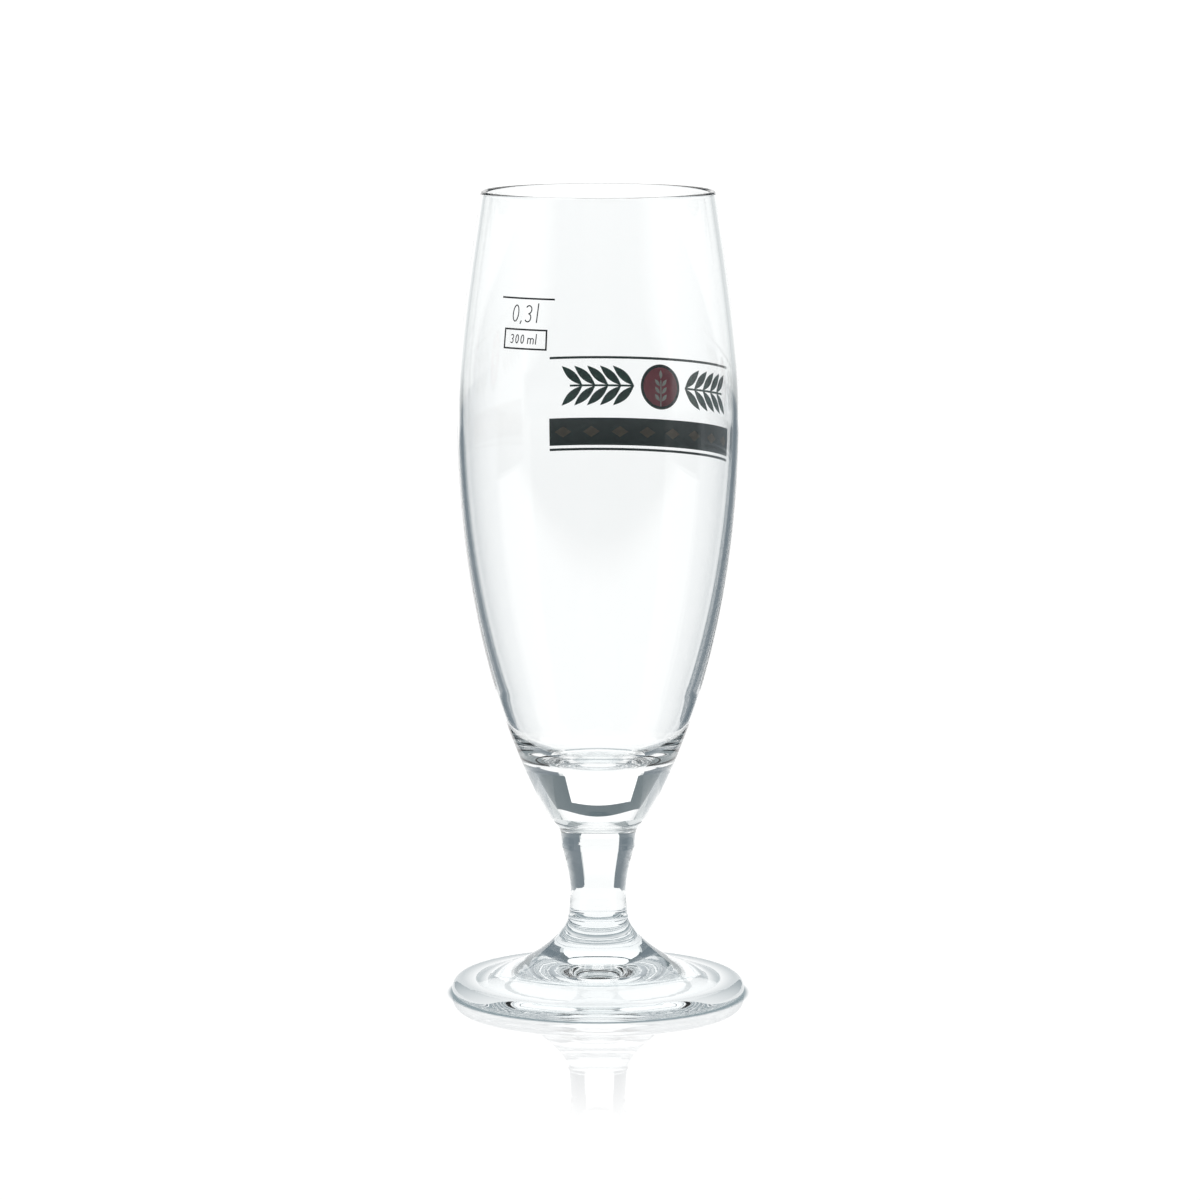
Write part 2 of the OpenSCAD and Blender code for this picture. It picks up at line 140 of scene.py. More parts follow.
class StemSizes(PropertyGroup):
    neck_d: length("Neck", "Diameter at the neck", 17.8 * MM)
    neck_h: length("Neck height", "Height of the neck", 36.3 * MM)
    neck_step: length("Neck step", "Depth of the mould's step at the neck", 0.2 * MM)
    flare_reach: length("Flare reach", "Sideways reach of the flare", 3.2 * MM)
    flare_fall: length("Flare fall", "Fall of the flare", 2.6 * MM)
    neck_rise: length("Neck rise", "Upright stretch over the neck", 3.8 * MM)
    waist_d: length("Waist", "Diameter of the slimmest ring", 13.4 * MM)
    waist_h: length("Waist height", "Height of the slimmest ring", 25.4 * MM)
    neck_pull: length("Neck pull", "Stretch below the neck that keeps its lean", 3.5 * MM)
    neck_lean: angle("Neck lean", "Lean of the outline below the neck", 12.5)
    waist_rise: length("Waist rise", "Upright stretch over the waist", 3.8 * MM)
    waist_drop: length("Waist drop", "Upright stretch under the waist", 1.8 * MM)
    bead_t: length("Bead", "Thickness of the bead under the bowl", 1.1 * MM)
    bead_drop: length("Bead drop", "Depth of the bead below the bowl", 2.1 * MM)
    ripple: length("Ripple", "Depth of the mould's ripples", 0.005 * MM)
    ripple_pitch: length("Ripple pitch", "Distance from one ripple to the next", 1.3 * MM)


class FootSizes(PropertyGroup):
    foot_d: length("Foot", "Diameter of the foot", frame_size("foot", 0))
    collar_h: length("Collar height", "Height of the joint with the stem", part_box("foot")[1].z)
    collar_d: length("Collar", "Diameter of that joint", 14.1 * MM)
    collar_fall: length("Collar fall", "Fall of the outline under the stem", 5 * MM)
    collar_reach: length("Collar reach", "Sideways reach of that stretch", 0.5 * MM)
    bead_t: length("Bead", "Thickness of the bead round the collar", 0.9 * MM)
    edge_h: length("Edge", "Height of the top face at the edge", 3.95 * MM)
    edge_slope: angle("Edge slope", "Slope of the top face near the edge", 2.5)
    edge_pull: length("Edge pull", "Gently sloping stretch of the top face", 14.5 * MM)
    edge_round: length("Edge round", "Width of the round on top of the edge", 2.6 * MM)
    base_round: length("Base round", "Radius of the round under the edge", 1.2 * MM)
    standing_w: length("Standing ring", "Width of the flat ring it stands on", 5 * MM)
    hollow_h: length("Hollow", "Height of the hollow under the foot", 6.4 * MM)
    ripple: length("Ripple", "Depth of the mould's ripples", 0.006 * MM)
    ripple_pitch: length("Ripple pitch", "Distance from one ripple to the next", 1.5 * MM)


class MarkSizes(PropertyGroup):
    fill_h: length("Line height", "Height of the filling line", 172.3 * MM)
    fill_stroke: length("Line stroke", "Thickness of the filling line", 0.4 * MM)
    mark_angle: angle("Angle", "Angle round the glass to the mark's middle", -32)
    fill_span: angle("Span", "Angle that the filling line spans", 26.5)
    figure_gap: length("Gap", "Gap between the line and the figures", 1.5 * MM)
    figure_h: length("Figures", "Height of the large figures", 4.1 * MM)
    figure_stroke: length("Stroke", "Stroke of the large figures", 0.3 * MM)
    figure_slant: angle("Slant", "Slant of the figures from upright", 5)
    frame_gap: length("Frame gap", "Gap between the figures and the frame", 1.5 * MM)
    frame_w: length("Frame width", "Width of the frame", 12 * MM)
    frame_h: length("Frame height", "Height of the frame", 4.9 * MM)
    frame_stroke: length("Frame stroke", "Stroke of the frame", 0.4 * MM)
    small_h: length("Small figures", "Height of the small figures", 2.2 * MM)
    small_stroke: length("Small stroke", "Stroke of the small figures", 0.26 * MM)
    ink_t: length("Enamel", "Thickness of the fired enamel", 0.05 * MM)
    ink_fuse: length("Fused", "Depth that the enamel is fused into the glass", 0.02 * MM)


class OrnamentSizes(PropertyGroup):
    middle: angle("Angle", "Angle round the glass to the ornament's middle", 152)
    span: angle("Span", "Angle that the ornament spans", 99)
    base_h: length("Base", "Height of the ornament's lower edge", 129.6 * MM)
    pinstripe_t: length("Pinstripe", "Thickness of the pinstripes", 0.6 * MM)
    pinstripe_gap: length("Pinstripe gap", "Gap from pinstripe to band", 0.7 * MM)
    band_h: length("Band", "Height of the broad band", 6.8 * MM)
    row_gap: length("Row gap", "Gap between the band and the garland's row", 1.3 * MM)
    row_h: length("Row", "Height of the garland's row", 13.4 * MM)
    lozenge_w: length("Lozenge length", "Length of a lozenge", 4.4 * MM)
    lozenge_h: length("Lozenge height", "Height of a lozenge", 2.8 * MM)
    lozenge_count: IntProperty(name="Lozenges", description="Lozenges in the band", default=8)
    medallion_d: length("Medallion", "Diameter over its outline", 11.2 * MM)
    medallion_line: length("Outline", "Width of its outline", 0.75 * MM)
    leaf_l: length("Leaf length", "Length of a leaf", 7.4 * MM)
    leaf_w: length("Leaf width", "Width of a leaf", 2.1 * MM)
    leaf_angle: angle("Leaf angle", "Angle between a leaf and its twig", 42)
    leaf_pairs: IntProperty(name="Leaf pairs", description="Pairs on each side", default=5)
    twig_t: length("Twig", "Thickness of the twig", 0.5 * MM)
    grain_l: length("Grain length", "Length of a grain", 2.2 * MM)
    grain_w: length("Grain width", "Width of a grain", 0.9 * MM)
    stalk_t: length("Stalk", "Thickness of the ear's stalk", 0.3 * MM)
    grain_pairs: IntProperty(name="Grain pairs", description="Pairs of grains", default=3)


class Finishes(PropertyGroup):
    glass: colour("Bowl glass", "Tint of the bowl's thin glass", "#FEFFFF")
    stem_glass: colour("Stem glass", "Tint of the stem's thick glass", "#F9FBFB")
    foot_glass: colour("Foot glass", "Tint of the foot's glass, seen along it", "#F5F9FA")
    black: colour("Black enamel", "Enamel of the capacity mark", "#1B1D22")
    dark_green: colour("Dark green enamel", "Enamel of the band", "#152C26")
    green: colour("Green enamel", "Enamel of the garland", "#1C4E40")
    tan: colour("Tan enamel", "Enamel of the lozenges", "#6E5C42")
    red: colour("Red enamel", "Enamel of the medallion", "#B4525F")
    white: colour("White enamel", "Enamel of the ear", "#E6E6DE")
    ior: FloatProperty(name="IOR", description="Refractive index of the glass", default=1.52)


class StudioSizes(PropertyGroup):
    camera_back: length("Distance", "Level distance from the glass to the camera", 1325.4 * MM)
    camera_up: length("Height", "Height of the camera over the table", 281.7 * MM)
    camera_aside: length("Aside", "Sideways place of the camera", 0.45 * MM)
    camera_pitch: angle("Pitch", "Downward tilt of the camera", 7.94)
    focal_px: FloatProperty(
        name="Focal length", description="Focal length in pixels of the photo", default=5523.8
    )
    table_half: length("Table half", "Half of the table's width", 700 * MM)
    table_front: length("Table front", "Reach of the table towards the camera", 350 * MM)
    table_back: length("Table back", "Reach of the table behind the glass", 1050 * MM)
    table_glow: factor("Table glow", "Brightness of the table round the glass", 1.06)
    front_glow: factor("Front glow", "Brightness of the table's front edge", 0.3)
    front_fade: length("Front fade", "Reach of the table's even glow to the camera", 225 * MM)
    table_lift: length("Table lift", "Sinking of the foot in the table's soft film", 0.02 * MM)
    mirror_start: length("Mirror start", "Reach in front where the mirror image is full", 55 * MM)
    mirror_end: length("Mirror end", "Reach where the mirror image has faded out", 165 * MM)
    mirror_ior: FloatProperty(
        name="Mirror IOR", description="Refractive index of the table's polish", default=2.0
    )
    mirror_half: length("Mirror half", "Half of the width of the polish's mirror", 42 * MM)
    shadow: colour("Shadow", "The table where the foot stands and keeps the light off", "#86959B")
    shadow_in: length("Shadow inside", "Reach of that shadow under the foot", 9 * MM)
    shadow_out: length("Shadow outside", "Reach of that shadow round the foot", 1.6 * MM)
    flag_x: length("Flag place", "Distance of the flags from the glass's axis", 102 * MM)
    flag_front: length("Flag front", "Reach of the flags towards the camera", 20 * MM)
    left_reach: length("Left flag", "Reach of the left flag behind the glass", 226 * MM)
    right_reach: length("Right flag", "Reach of the right flag behind the glass", 275 * MM)
    flag_top: length("Flag top", "Height of the flags in front", 160 * MM)
    flag_drop: length("Flag drop", "Fall of their top edge to the back", 55 * MM)
    # The flags' colours are painted light and shade: the room's light painted pale on them in
    # front, and painted shade darkening them towards the back
    flag_deep: length("Flag deep", "Reach behind the glass to their darkest cloth", 130 * MM)
    flag_lit: colour("Flag front colour", "The flags' cloth in front, in the light", "#C2C8CC")
    flag_shaded: colour("Flag back colour", "The flags' cloth at the back", "#6C7880")
    card_r: length("Cards", "Distance from the glass to the cards", 1000 * MM)
    cloth_r: length("Dark cloth", "Distance to the dark cloth behind them", 1050 * MM)
    backdrop_left: angle("Backdrop left", "Angle that the backdrop reaches to the left", 24.3)
    backdrop_right: angle("Backdrop right", "Angle that it reaches to the right", 19.1)
    backdrop_top: angle("Backdrop top", "Angle up to its top edge", 24.24)
    backdrop_gap: angle("Backdrop gap", "Gap between it and the overhead card", 2.18)
    sag: angle("Sag", "Rise of that gap at 25 degrees from its middle", 3.7)
    backdrop_glow: factor("Backdrop glow", "Brightness of the backdrop's top", 1.25)
    overhead_half: angle("Overhead half", "Half of the overhead card's width", 44)
    overhead_top: angle("Overhead top", "Angle up to its far edge", 78)
    overhead_glow: factor("Overhead glow", "Brightness of the overhead card", 1.14)
    cloth_half: angle("Cloth half", "Half of the dark cloth's width", 60)
    cloth_base: angle("Cloth base", "Angle up to the dark cloth's foot", 14)
    cloth_top: angle("Cloth top", "Angle up to the dark cloth's top", 38)
    curtain_r: length("Curtain", "Distance to the curtain behind the camera", 1500 * MM)
    curtain_half: angle("Curtain half", "Half of the curtain's width", 62)
    curtain_top: angle("Curtain top", "Angle up to the curtain's top", 60)
    curtain: colour("Curtain colour", "Dim curtain behind the camera", "#7E888B")
    cloth: colour("Cloth", "Dark cloth", "#616E73")
    ground: colour("Ground", "Dark floor of the room", "#4E575A")
    ground_reach: length("Ground reach", "Reach of its dark part", 5000 * MM)
    ground_drop: length("Ground drop", "Height of the table over the floor", 750 * MM)
    room: colour("Room", "Pale walls of the room", "#DADEDF")


GROUPS = {
    "glass_bowl": BowlSizes,
    "glass_stem": StemSizes,
    "glass_foot": FootSizes,
    "glass_mark": MarkSizes,
    "glass_ornament": OrnamentSizes,
    "glass_finishes": Finishes,
    "glass_studio": StudioSizes,
}


# Outlines, as lists of (radius, height)

CURVE_STEPS = 64
LIP_STEPS = 16
EDGE_STEPS = 14
SAME_POINT = 1e-9
# Steps along one ripple of the stem and of the foot
STEM_RIPPLE_STEPS = 10
FOOT_RIPPLE_STEPS = 8
# Each wave of a mould's ripples: share of the depth, turns to a pitch, and shift
RIPPLE_WAVES = ((0.5, 1, 0), (0.3, 1.73, 1), (0.2, 2.9, 0))


def curve_at(a, b, c, d, t):
    """A point on the curve that leaves a towards b and reaches d from c."""
    s = 1 - t
    return a * s ** 3 + b * (3 * s * s * t) + c * (3 * s * t * t) + d * t ** 3


def curve(a, b, c, d, steps=CURVE_STEPS):
    """The whole of that curve, from a to d."""
    return [curve_at(a, b, c, d, i / steps) for i in range(steps + 1)]


def leaning(start, length_, lean):
    """A point at a length from start along a lean from upright, outwards and up."""
    return start + Vector((math.sin(lean), math.cos(lean))) * length_


def joined(*runs):
    """Runs of points made one line, without the point that two runs share."""
    line = list(runs[0])
    for run in runs[1:]:
        line += run[1:] if (run[0] - line[-1]).length < SAME_POINT else run
    return line


def bowl_outside(s):
    """Outside of the bowl, from the joint with the stem up to the lip's round."""
    root = Vector((s.root_d / 2, s.root_h))
    belly = Vector((s.belly_d / 2, s.belly_h))
    lip = Vector((s.mouth_d / 2, s.glass_h - s.lip_wall / 2))
    lower = curve(
        root, leaning(root, s.root_pull, s.root_lean), belly - Vector((0, s.belly_drop)), belly
    )
    upper = curve(
        belly, belly + Vector((0, s.belly_rise)), leaning(lip, -s.mouth_pull, -s.mouth_lean), lip
    )
    return joined(lower, upper)


def radius_at(line, height):
    """Radius of a line of points at a height, where the line climbs."""
    for low, high in zip(line, line[1:]):
        if low.y <= height <= high.y and high.y > low.y:
            share = (height - low.y) / (high.y - low.y)
            return low.x + (high.x - low.x) * share
    return line[0].x if height < line[0].y else line[-1].x


def wall_at(s, height):
    """Thickness of the bowl's wall at a height: fuller towards the floor."""
    if height < s.belly_h:
        share = (s.belly_h - height) / (s.belly_h - s.turn_h)
        return s.belly_wall + (s.turn_wall - s.belly_wall) * share ** 2
    share = (height - s.belly_h) / (s.glass_h - s.lip_wall / 2 - s.belly_h)
    return s.belly_wall + (s.lip_wall - s.belly_wall) * share ** 2


def bowl_inside(s, outside):
    """Inside of the bowl, from the middle of the floor up to the lip."""
    floor_h = s.root_h + s.floor_t
    button_r = s.button_d / 2

    def inside_r(height):
        return radius_at(outside, height) - wall_at(s, height)

    button = []
    for i in range(EDGE_STEPS + 1):
        share = i / EDGE_STEPS
        rise = s.button_h * (1 + math.cos(math.pi * share)) / 2
        button.append(Vector((button_r * share, floor_h + rise)))
    turn = Vector((inside_r(s.turn_h), s.turn_h))
    slope = (inside_r(s.turn_h + s.turn_fall) - turn.x) / s.turn_fall
    floor = curve(
        button[-1], button[-1] + Vector((s.turn_flat, 0)),
        turn - Vector((slope, 1)) * s.turn_fall, turn,
    )
    wall = [Vector((p.x - wall_at(s, p.y), p.y)) for p in outside if p.y > s.turn_h]
    return joined(button, floor, wall)


def bowl_outline(s):
    """Whole outline of the bowl: joint, outside, lip, inside and floor."""
    outside = bowl_outside(s)
    inside = bowl_inside(s, outside)
    lip = outside[-1]
    half = s.lip_wall / 2
    top = []
    for i in range(1, LIP_STEPS):
        turn = math.pi * i / LIP_STEPS
        top.append(lip + Vector((half * math.cos(turn) - half, half * math.sin(turn))))
    return [Vector((0, s.root_h))] + outside + top + inside[::-1]


def bead_on(line, height, thickness):
    """A line that swells by a quarter of a bead's thickness where the bead lies."""
    half = thickness / 2
    swollen = []
    for p in line:
        reach = abs(p.y - height) / half
        swell = half * math.sqrt(1 - reach * reach) - half / 2 if reach < 1 else 0
        swollen.append(Vector((p.x + max(swell, 0), p.y)))
    return swollen


def refined(line, pitch):
    """A line with points added, so that none lies further than the pitch from the next."""
    fine = [line[0]]
    for a, b in zip(line, line[1:]):
        count = max(1, math.ceil((b - a).length / pitch))
        fine += [a.lerp(b, i / count) for i in range(1, count + 1)]
    return fine


def rippled(line, depth, pitch, low, high):
    """A line with the faint, uneven ripples that a mould leaves, faded out at both ends."""
    waved = []
    for p in line:
        share = (p.y - low) / (high - low)
        fade = math.sin(math.pi * min(max(share, 0), 1)) ** 0.5
        turn = 2 * math.pi * p.y / pitch
        wave = sum(part * math.sin(rate * turn + shift) for part, rate, shift in RIPPLE_WAVES)
        waved.append(Vector((p.x + depth * fade * wave, p.y)))
    return waved


def stem_outline(bowl, s, foot):
    """Whole outline of the stem: flare, neck, waist and lower end."""
    root = Vector((bowl.root_d / 2, bowl.root_h))
    neck = Vector((s.neck_d / 2, s.neck_h))
    step = neck - Vector((s.neck_step, 0))
    waist = Vector((s.waist_d / 2, s.waist_h))
    collar = Vector((foot.collar_d / 2, foot.collar_h))
    flare = curve(
        root, root - Vector((s.flare_reach, s.flare_fall)), neck + Vector((0, s.neck_rise)), neck
    )
    flare = bead_on(flare, bowl.root_h - s.bead_drop, s.bead_t)
    shank = curve(
        step, leaning(step, -s.neck_pull, s.neck_lean), waist + Vector((0, s.waist_rise)), waist
    )
    ankle = curve(
        waist, waist - Vector((0, s.waist_drop)), collar + Vector((0, s.waist_drop)), collar
    )
    side = refined(joined(flare, shank, ankle), s.ripple_pitch / STEM_RIPPLE_STEPS)
    side = rippled(side, s.ripple, s.ripple_pitch, foot.collar_h, bowl.root_h)
    return [Vector((0, bowl.root_h))] + side + [Vector((0, foot.collar_h))]


def foot_outline(s):
    """Whole outline of the foot: collar, top, edge, standing ring and hollow."""
    collar = Vector((s.collar_d / 2, s.collar_h))
    foot_r = s.foot_d / 2
    end = Vector((foot_r - s.edge_round, s.edge_h))
    slope = Vector((-math.cos(s.edge_slope), math.sin(s.edge_slope)))
    top = curve(
        collar, collar + Vector((s.collar_reach, -s.collar_fall)), end + slope * s.edge_pull, end
    )
    top = refined(top, s.ripple_pitch / FOOT_RIPPLE_STEPS)
    top = bead_on(top, s.collar_h - s.bead_t / 2, s.bead_t)
    top = rippled(top, s.ripple, s.ripple_pitch, s.edge_h, s.collar_h)
    drop = s.edge_h - s.base_round
    edge = []
    for i in range(1, EDGE_STEPS + 1):
        turn = math.pi / 2 * i / EDGE_STEPS
        edge.append(end + Vector((s.edge_round * math.sin(turn), drop * (math.cos(turn) - 1))))
    for i in range(1, EDGE_STEPS + 1):
        turn = math.pi / 2 * i / EDGE_STEPS
        edge.append(Vector((foot_r - s.base_round * (1 - math.cos(turn)),
                            s.base_round * (1 - math.sin(turn)))))
    ring_in = foot_r - s.base_round - s.standing_w
    hollow = []
    for i in range(CURVE_STEPS + 1):
        share = 1 - i / CURVE_STEPS
        hollow.append(Vector((ring_in * share, s.hollow_h * (1 - share * share))))
    return [Vector((0, s.collar_h))] + top + edge + hollow


# Modelling

SMOOTH_ANGLE = math.radians(40)
# Points of a spun solid closer than this are one
SPIN_NEAR = 0.0005 * MM
# Points and faces closer than this lie at one place
NEAR = 0.001 * MM
# A normal's rise from which on a face counts as level
LEVEL = 0.999


def deselect():
    """Leaves nothing selected, in object mode."""
    if bpy.context.object and bpy.context.object.mode != "OBJECT":
        bpy.ops.object.mode_set(mode="OBJECT")
    bpy.ops.object.select_all(action="DESELECT")


def only(piece):
    """Makes one piece the selected and active one."""
    deselect()
    piece.select_set(True)
    bpy.context.view_layer.objects.active = piece


@contextmanager
def editing():
    """Edit mode on the active piece, with all of it selected, and object mode after it."""
    bpy.ops.object.mode_set(mode="EDIT")
    bpy.ops.mesh.select_all(action="SELECT")
    yield
    bpy.ops.object.mode_set(mode="OBJECT")


def faced_out(piece):
    """Turns all faces of a piece outwards."""
    only(piece)
    with editing():
        bpy.ops.mesh.normals_make_consistent(inside=False)
    return piece


def named(name):
    """The active object, with its name and its mesh's name set."""
    piece = bpy.context.object
    piece.name = name
    piece.data.name = name
    return piece


def line_through(places, cyclic=False):
    """A straight-sided curve through places in space."""
    deselect()
    bpy.ops.curve.primitive_bezier_curve_add(location=(0, 0, 0))
    line = bpy.context.object
    line.data.splines.clear()
    spline = line.data.splines.new("POLY")
    spline.points.add(len(places) - 1)
    for point, place in zip(spline.points, places):
        point.co = (*place, 1)
    spline.use_cyclic_u = cyclic
    return line


def spun(name, outline, steps):
    """A solid of glass: its half outline drawn as a line, spun round and closed."""
    line_through([(p.x, 0, p.y) for p in outline])
    bpy.ops.object.convert(target="MESH")
    piece = named(name)
    with editing():
        bpy.ops.mesh.spin(steps=steps, angle=2 * math.pi, center=(0, 0, 0), axis=(0, 0, 1))
        bpy.ops.mesh.select_all(action="SELECT")
        bpy.ops.mesh.remove_doubles(threshold=SPIN_NEAR)
        bpy.ops.mesh.normals_make_consistent(inside=False)
    bpy.ops.object.shade_smooth_by_angle(angle=SMOOTH_ANGLE)
    return piece


def flat_faces(piece, height):
    """The faces of a piece that lie level at a height."""
    return [f for f in piece.data.polygons
            if abs(f.normal.z) > LEVEL and abs(f.center.z - height) < NEAR]


def weld(piece, material, heights):
    """Gives the faces where two parts are fused the joint's material."""
    piece.data.materials.append(material)
    for height in heights:
        for face in flat_faces(piece, height):
            face.material_index = 1


def put_in_place(piece, node):
    """Makes a piece ride on the part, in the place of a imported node."""
    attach(piece, "root")
    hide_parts(node)


def form_glass(name, outline, steps, glass, joints, node):
    """Spins a part of glass, welds it at the heights of its joints and puts it in place."""
    piece = spun(name, outline, steps)
    piece.data.materials.append(glass)
    weld(piece, fused_joint(), joints)
    put_in_place(piece, node)


def fire_enamel(piece, enamel, node):
    """Gives a print its enamel and puts it in place."""
    piece.data.materials.append(enamel)
    put_in_place(piece, node)


# Flat drawings, in metres, with X along the print and Y up it

WRAP_PITCH = 1.2 * MM
DISC_STEPS = 96
BEAD_STEPS = 2
LEAF_STEPS_LONG = 12
LEAF_STEPS_WIDE = 4


def sheet(name, width, height, x=0, y=0):
    """A flat rectangle about a point."""
    deselect()
    bpy.ops.mesh.primitive_plane_add(size=1, location=(0, 0, 0))
    piece = named(name)
    with editing():
        bpy.ops.transform.resize(value=(width, height, 1))
        bpy.ops.transform.translate(value=(x, y, 0))
    return piece


def disc(name, diameter):
    """A flat disc."""
    deselect()
    bpy.ops.mesh.primitive_circle_add(
        vertices=DISC_STEPS, radius=diameter / 2, fill_type="NGON",
    )
    return named(name)


def ringed(piece, width):
    """Cuts the middle out of a flat drawing, up to a width from its edge."""
    only(piece)
    with editing():
        bpy.ops.mesh.inset(thickness=width)
        bpy.ops.mesh.delete(type="FACE")
    return piece


def select_faces(piece, test):
    """In edit mode, selects the faces whose middle passes a test."""
    bpy.ops.mesh.select_mode(type="FACE")
    bpy.ops.mesh.select_all(action="DESELECT")
    mesh = bmesh.from_edit_mesh(piece.data)
    for face in mesh.faces:
        if test(face.calc_center_median()):
            face.select_set(True)
    bmesh.update_edit_mesh(piece.data)


def cut_through(x, y, across, up):
    """In edit mode, cuts the selected faces of a flat drawing through a point, along the
    line that the direction (across, up) stands square on."""
    normal = Vector((across, up, 0)).normalized()
    bpy.ops.mesh.bisect(plane_co=(x, y, 0), plane_no=normal, threshold=NEAR)


def sliced(piece):
    """Cuts a flat drawing into strips, so that it can bend round the glass."""
    only(piece)
    xs = [v.co.x for v in piece.data.vertices]
    ys = [v.co.y for v in piece.data.vertices]
    with editing():
        for low, high, across, up in ((min(xs), max(xs), 1, 0), (min(ys), max(ys), 0, 1)):
            count = math.ceil((high - low) / WRAP_PITCH)
            for i in range(1, count):
                place = low + (high - low) * i / count
                bpy.ops.mesh.select_all(action="SELECT")
                cut_through(across * place, up * place, across, up)
        bpy.ops.mesh.select_all(action="SELECT")
        bpy.ops.mesh.quads_convert_to_tris()
    return piece


def thickened(piece, thickness):
    """Gives a flat drawing its thickness of enamel, upwards from its plane."""
    wall = faced_out(piece).modifiers.new("thickness", "SOLIDIFY")
    wall.thickness = thickness
    wall.offset = 0
    bpy.ops.object.modifier_apply(modifier=wall.name)
    for v in piece.data.vertices:
        v.co.z += thickness / 2
    return piece


def wrapped(piece, outside, middle, height, fuse):
    """Bends a drawing round the bowl at an angle from the front and a height, with its
    back a little way in the glass."""
    reference = radius_at(outside, height)
    for v in piece.data.vertices:
        turn = middle + v.co.x / reference
        level = height + v.co.y
        reach = radius_at(outside, level) - fuse + v.co.z
        v.co = Vector((reach * math.sin(turn), -reach * math.cos(turn), level))
    return faced_out(piece)


def merged(name, pieces):
    """Several pieces joined into one."""
    only(pieces[0])
    for piece in pieces[1:]:
        piece.select_set(True)
    if len(pieces) > 1:
        bpy.ops.object.join()
    return named(name)


def stroke(path, width, cyclic=False):
    """A stroke of even width along a path, as a flattened round bead of enamel."""
    line = line_through([(p.x, p.y, 0) for p in path], cyclic)
    line.data.bevel_depth = width / 2
    line.data.bevel_resolution = BEAD_STEPS
    line.data.use_fill_caps = True
    bpy.ops.object.convert(target="MESH")
    return bpy.context.object


def flattened(piece, thickness):
    """Presses a round bead down to the enamel's thickness, upwards from its plane."""
    high = max(v.co.z for v in piece.data.vertices)
    for v in piece.data.vertices:
        v.co.z = (v.co.z / high + 1) * thickness / 2
    return piece


# Figures of the capacity mark, as paths for a stroke

ARC_STEPS = 16
FIGURE_SHARES = {"nought": 0.46, "three": 0.23, "tall": 1.12, "comma": 0.2, "arch": 0.17}


def arc(middle, rx, ry, start, end):
    """Points along an oval arc, with angles in degrees."""
    turns = [math.radians(start + (end - start) * i / ARC_STEPS) for i in range(ARC_STEPS + 1)]
    return [middle + Vector((rx * math.cos(t), ry * math.sin(t))) for t in turns]


def figure_paths(kind, height, width):
    """The strokes of a figure of a height, about the middle of its foot."""
    half = width / 2
    if kind == "0":
        reach = height * FIGURE_SHARES["nought"] / 2 - half
        return [arc(Vector((0, height / 2)), reach, height / 2 - half, 0, 360)]
    if kind == "3":
        ry = (height / 2 - half) / 2
        reach = height * FIGURE_SHARES["three"] - half
        upper = arc(Vector((0, height / 2 + ry)), reach, ry, 150, -90)
        lower = arc(Vector((0, height / 2 - ry)), reach, ry, 90, -150)
        return [upper, lower]
    if kind == ",":
        drop = height * FIGURE_SHARES["comma"]
        return [[Vector((0, drop / 2)), Vector((-drop / 3, -drop / 2))]]
    if kind == "l":
        return [[Vector((0, height * FIGURE_SHARES["tall"])), Vector((0, 0))]]
    x_height = height * 2 / 3
    reach = height * FIGURE_SHARES["arch"]
    paths = [[Vector((-2 * reach, x_height)), Vector((-2 * reach, 0))]]
    for side in (-1, 1):
        arch = arc(Vector((side * reach, x_height - reach)), reach, reach - half, 180, 0)
        paths.append(arch + [Vector((side * reach + reach, 0))])
    return paths


def lettered(line, height, width, slant, base):
    """Strokes of a line of figures: (figure, place as a share of the height) pairs."""
    pieces = []
    for kind, share in line:
        for path in figure_paths(kind, height, width):
            places = [Vector((p.x + p.y * math.tan(slant) + share * height, p.y + base))
                      for p in path]
            pieces.append(stroke(places, width))
    return pieces


LARGE_LINE = (("0", -0.75), (",", -0.3), ("3", 0.12), ("l", 0.72))
SMALL_LINE = (("3", -1.65), ("0", -0.98), ("0", -0.31), ("m", 0.72), ("l", 1.35))


def pointed_ovals(name, length_, width, places):
    """Leaves or grains: a shaped sheet for each (x, y, angle) place."""
    pieces = []
    for x, y, turn in places:
        deselect()
        bpy.ops.mesh.primitive_grid_add(
            x_subdivisions=LEAF_STEPS_LONG, y_subdivisions=LEAF_STEPS_WIDE, size=1,
        )
        piece = named(name)
        for v in piece.data.vertices:
            along = v.co.x + 0.5
            side = v.co.y * width * math.sin(math.pi * along)
            out = along * length_
            v.co = Vector((x + out * math.cos(turn) - side * math.sin(turn),
                           y + out * math.sin(turn) + side * math.cos(turn), 0))
        with editing():
            bpy.ops.mesh.remove_doubles(threshold=NEAR)
        pieces.append(piece)
    return pieces


# Materials

WHITE = (1, 1, 1, 1)
# Roughness of the glass where its haze is fullest
GLASS_HAZE = 0.012
# The enamel's mottle, the printing mesh's pitch and how high the mesh stands
MOTTLE_SIZE = 2.5 * MM
MESH_PITCH = 0.3 * MM
MESH_RISE = 0.01 * MM
# Shares of the enamel's tint in its pale and deep patches, and what the pale ones add
PALE_SHARE, DEEP_SHARE, PALE_LIFT = 1.25, 0.85, 0.006
TABLE_ROUGHNESS = 0.02
CLOTH_MOTTLE = 200 * MM


def add_node(tree, kind, settings=None, links=None):
    """Adds a node with its settings and with links from (node, output) to its inputs."""
    node = tree.nodes.new(kind)
    for key, value in (settings or {}).items():
        if isinstance(key, str) and hasattr(node, key):
            setattr(node, key, value)
        else:
            node.inputs[key].default_value = value
    for key, (source, output) in (links or {}).items():
        tree.links.new(source.outputs[output], node.inputs[key])
    return node


def new_material(name):
    """An empty node material and its tree."""
    material = bpy.data.materials.new(name)
    material.use_nodes = True
    material.node_tree.nodes.clear()
    return material, material.node_tree


def rgba(values):
    """A colour with full opacity."""
    return (*values, 1)


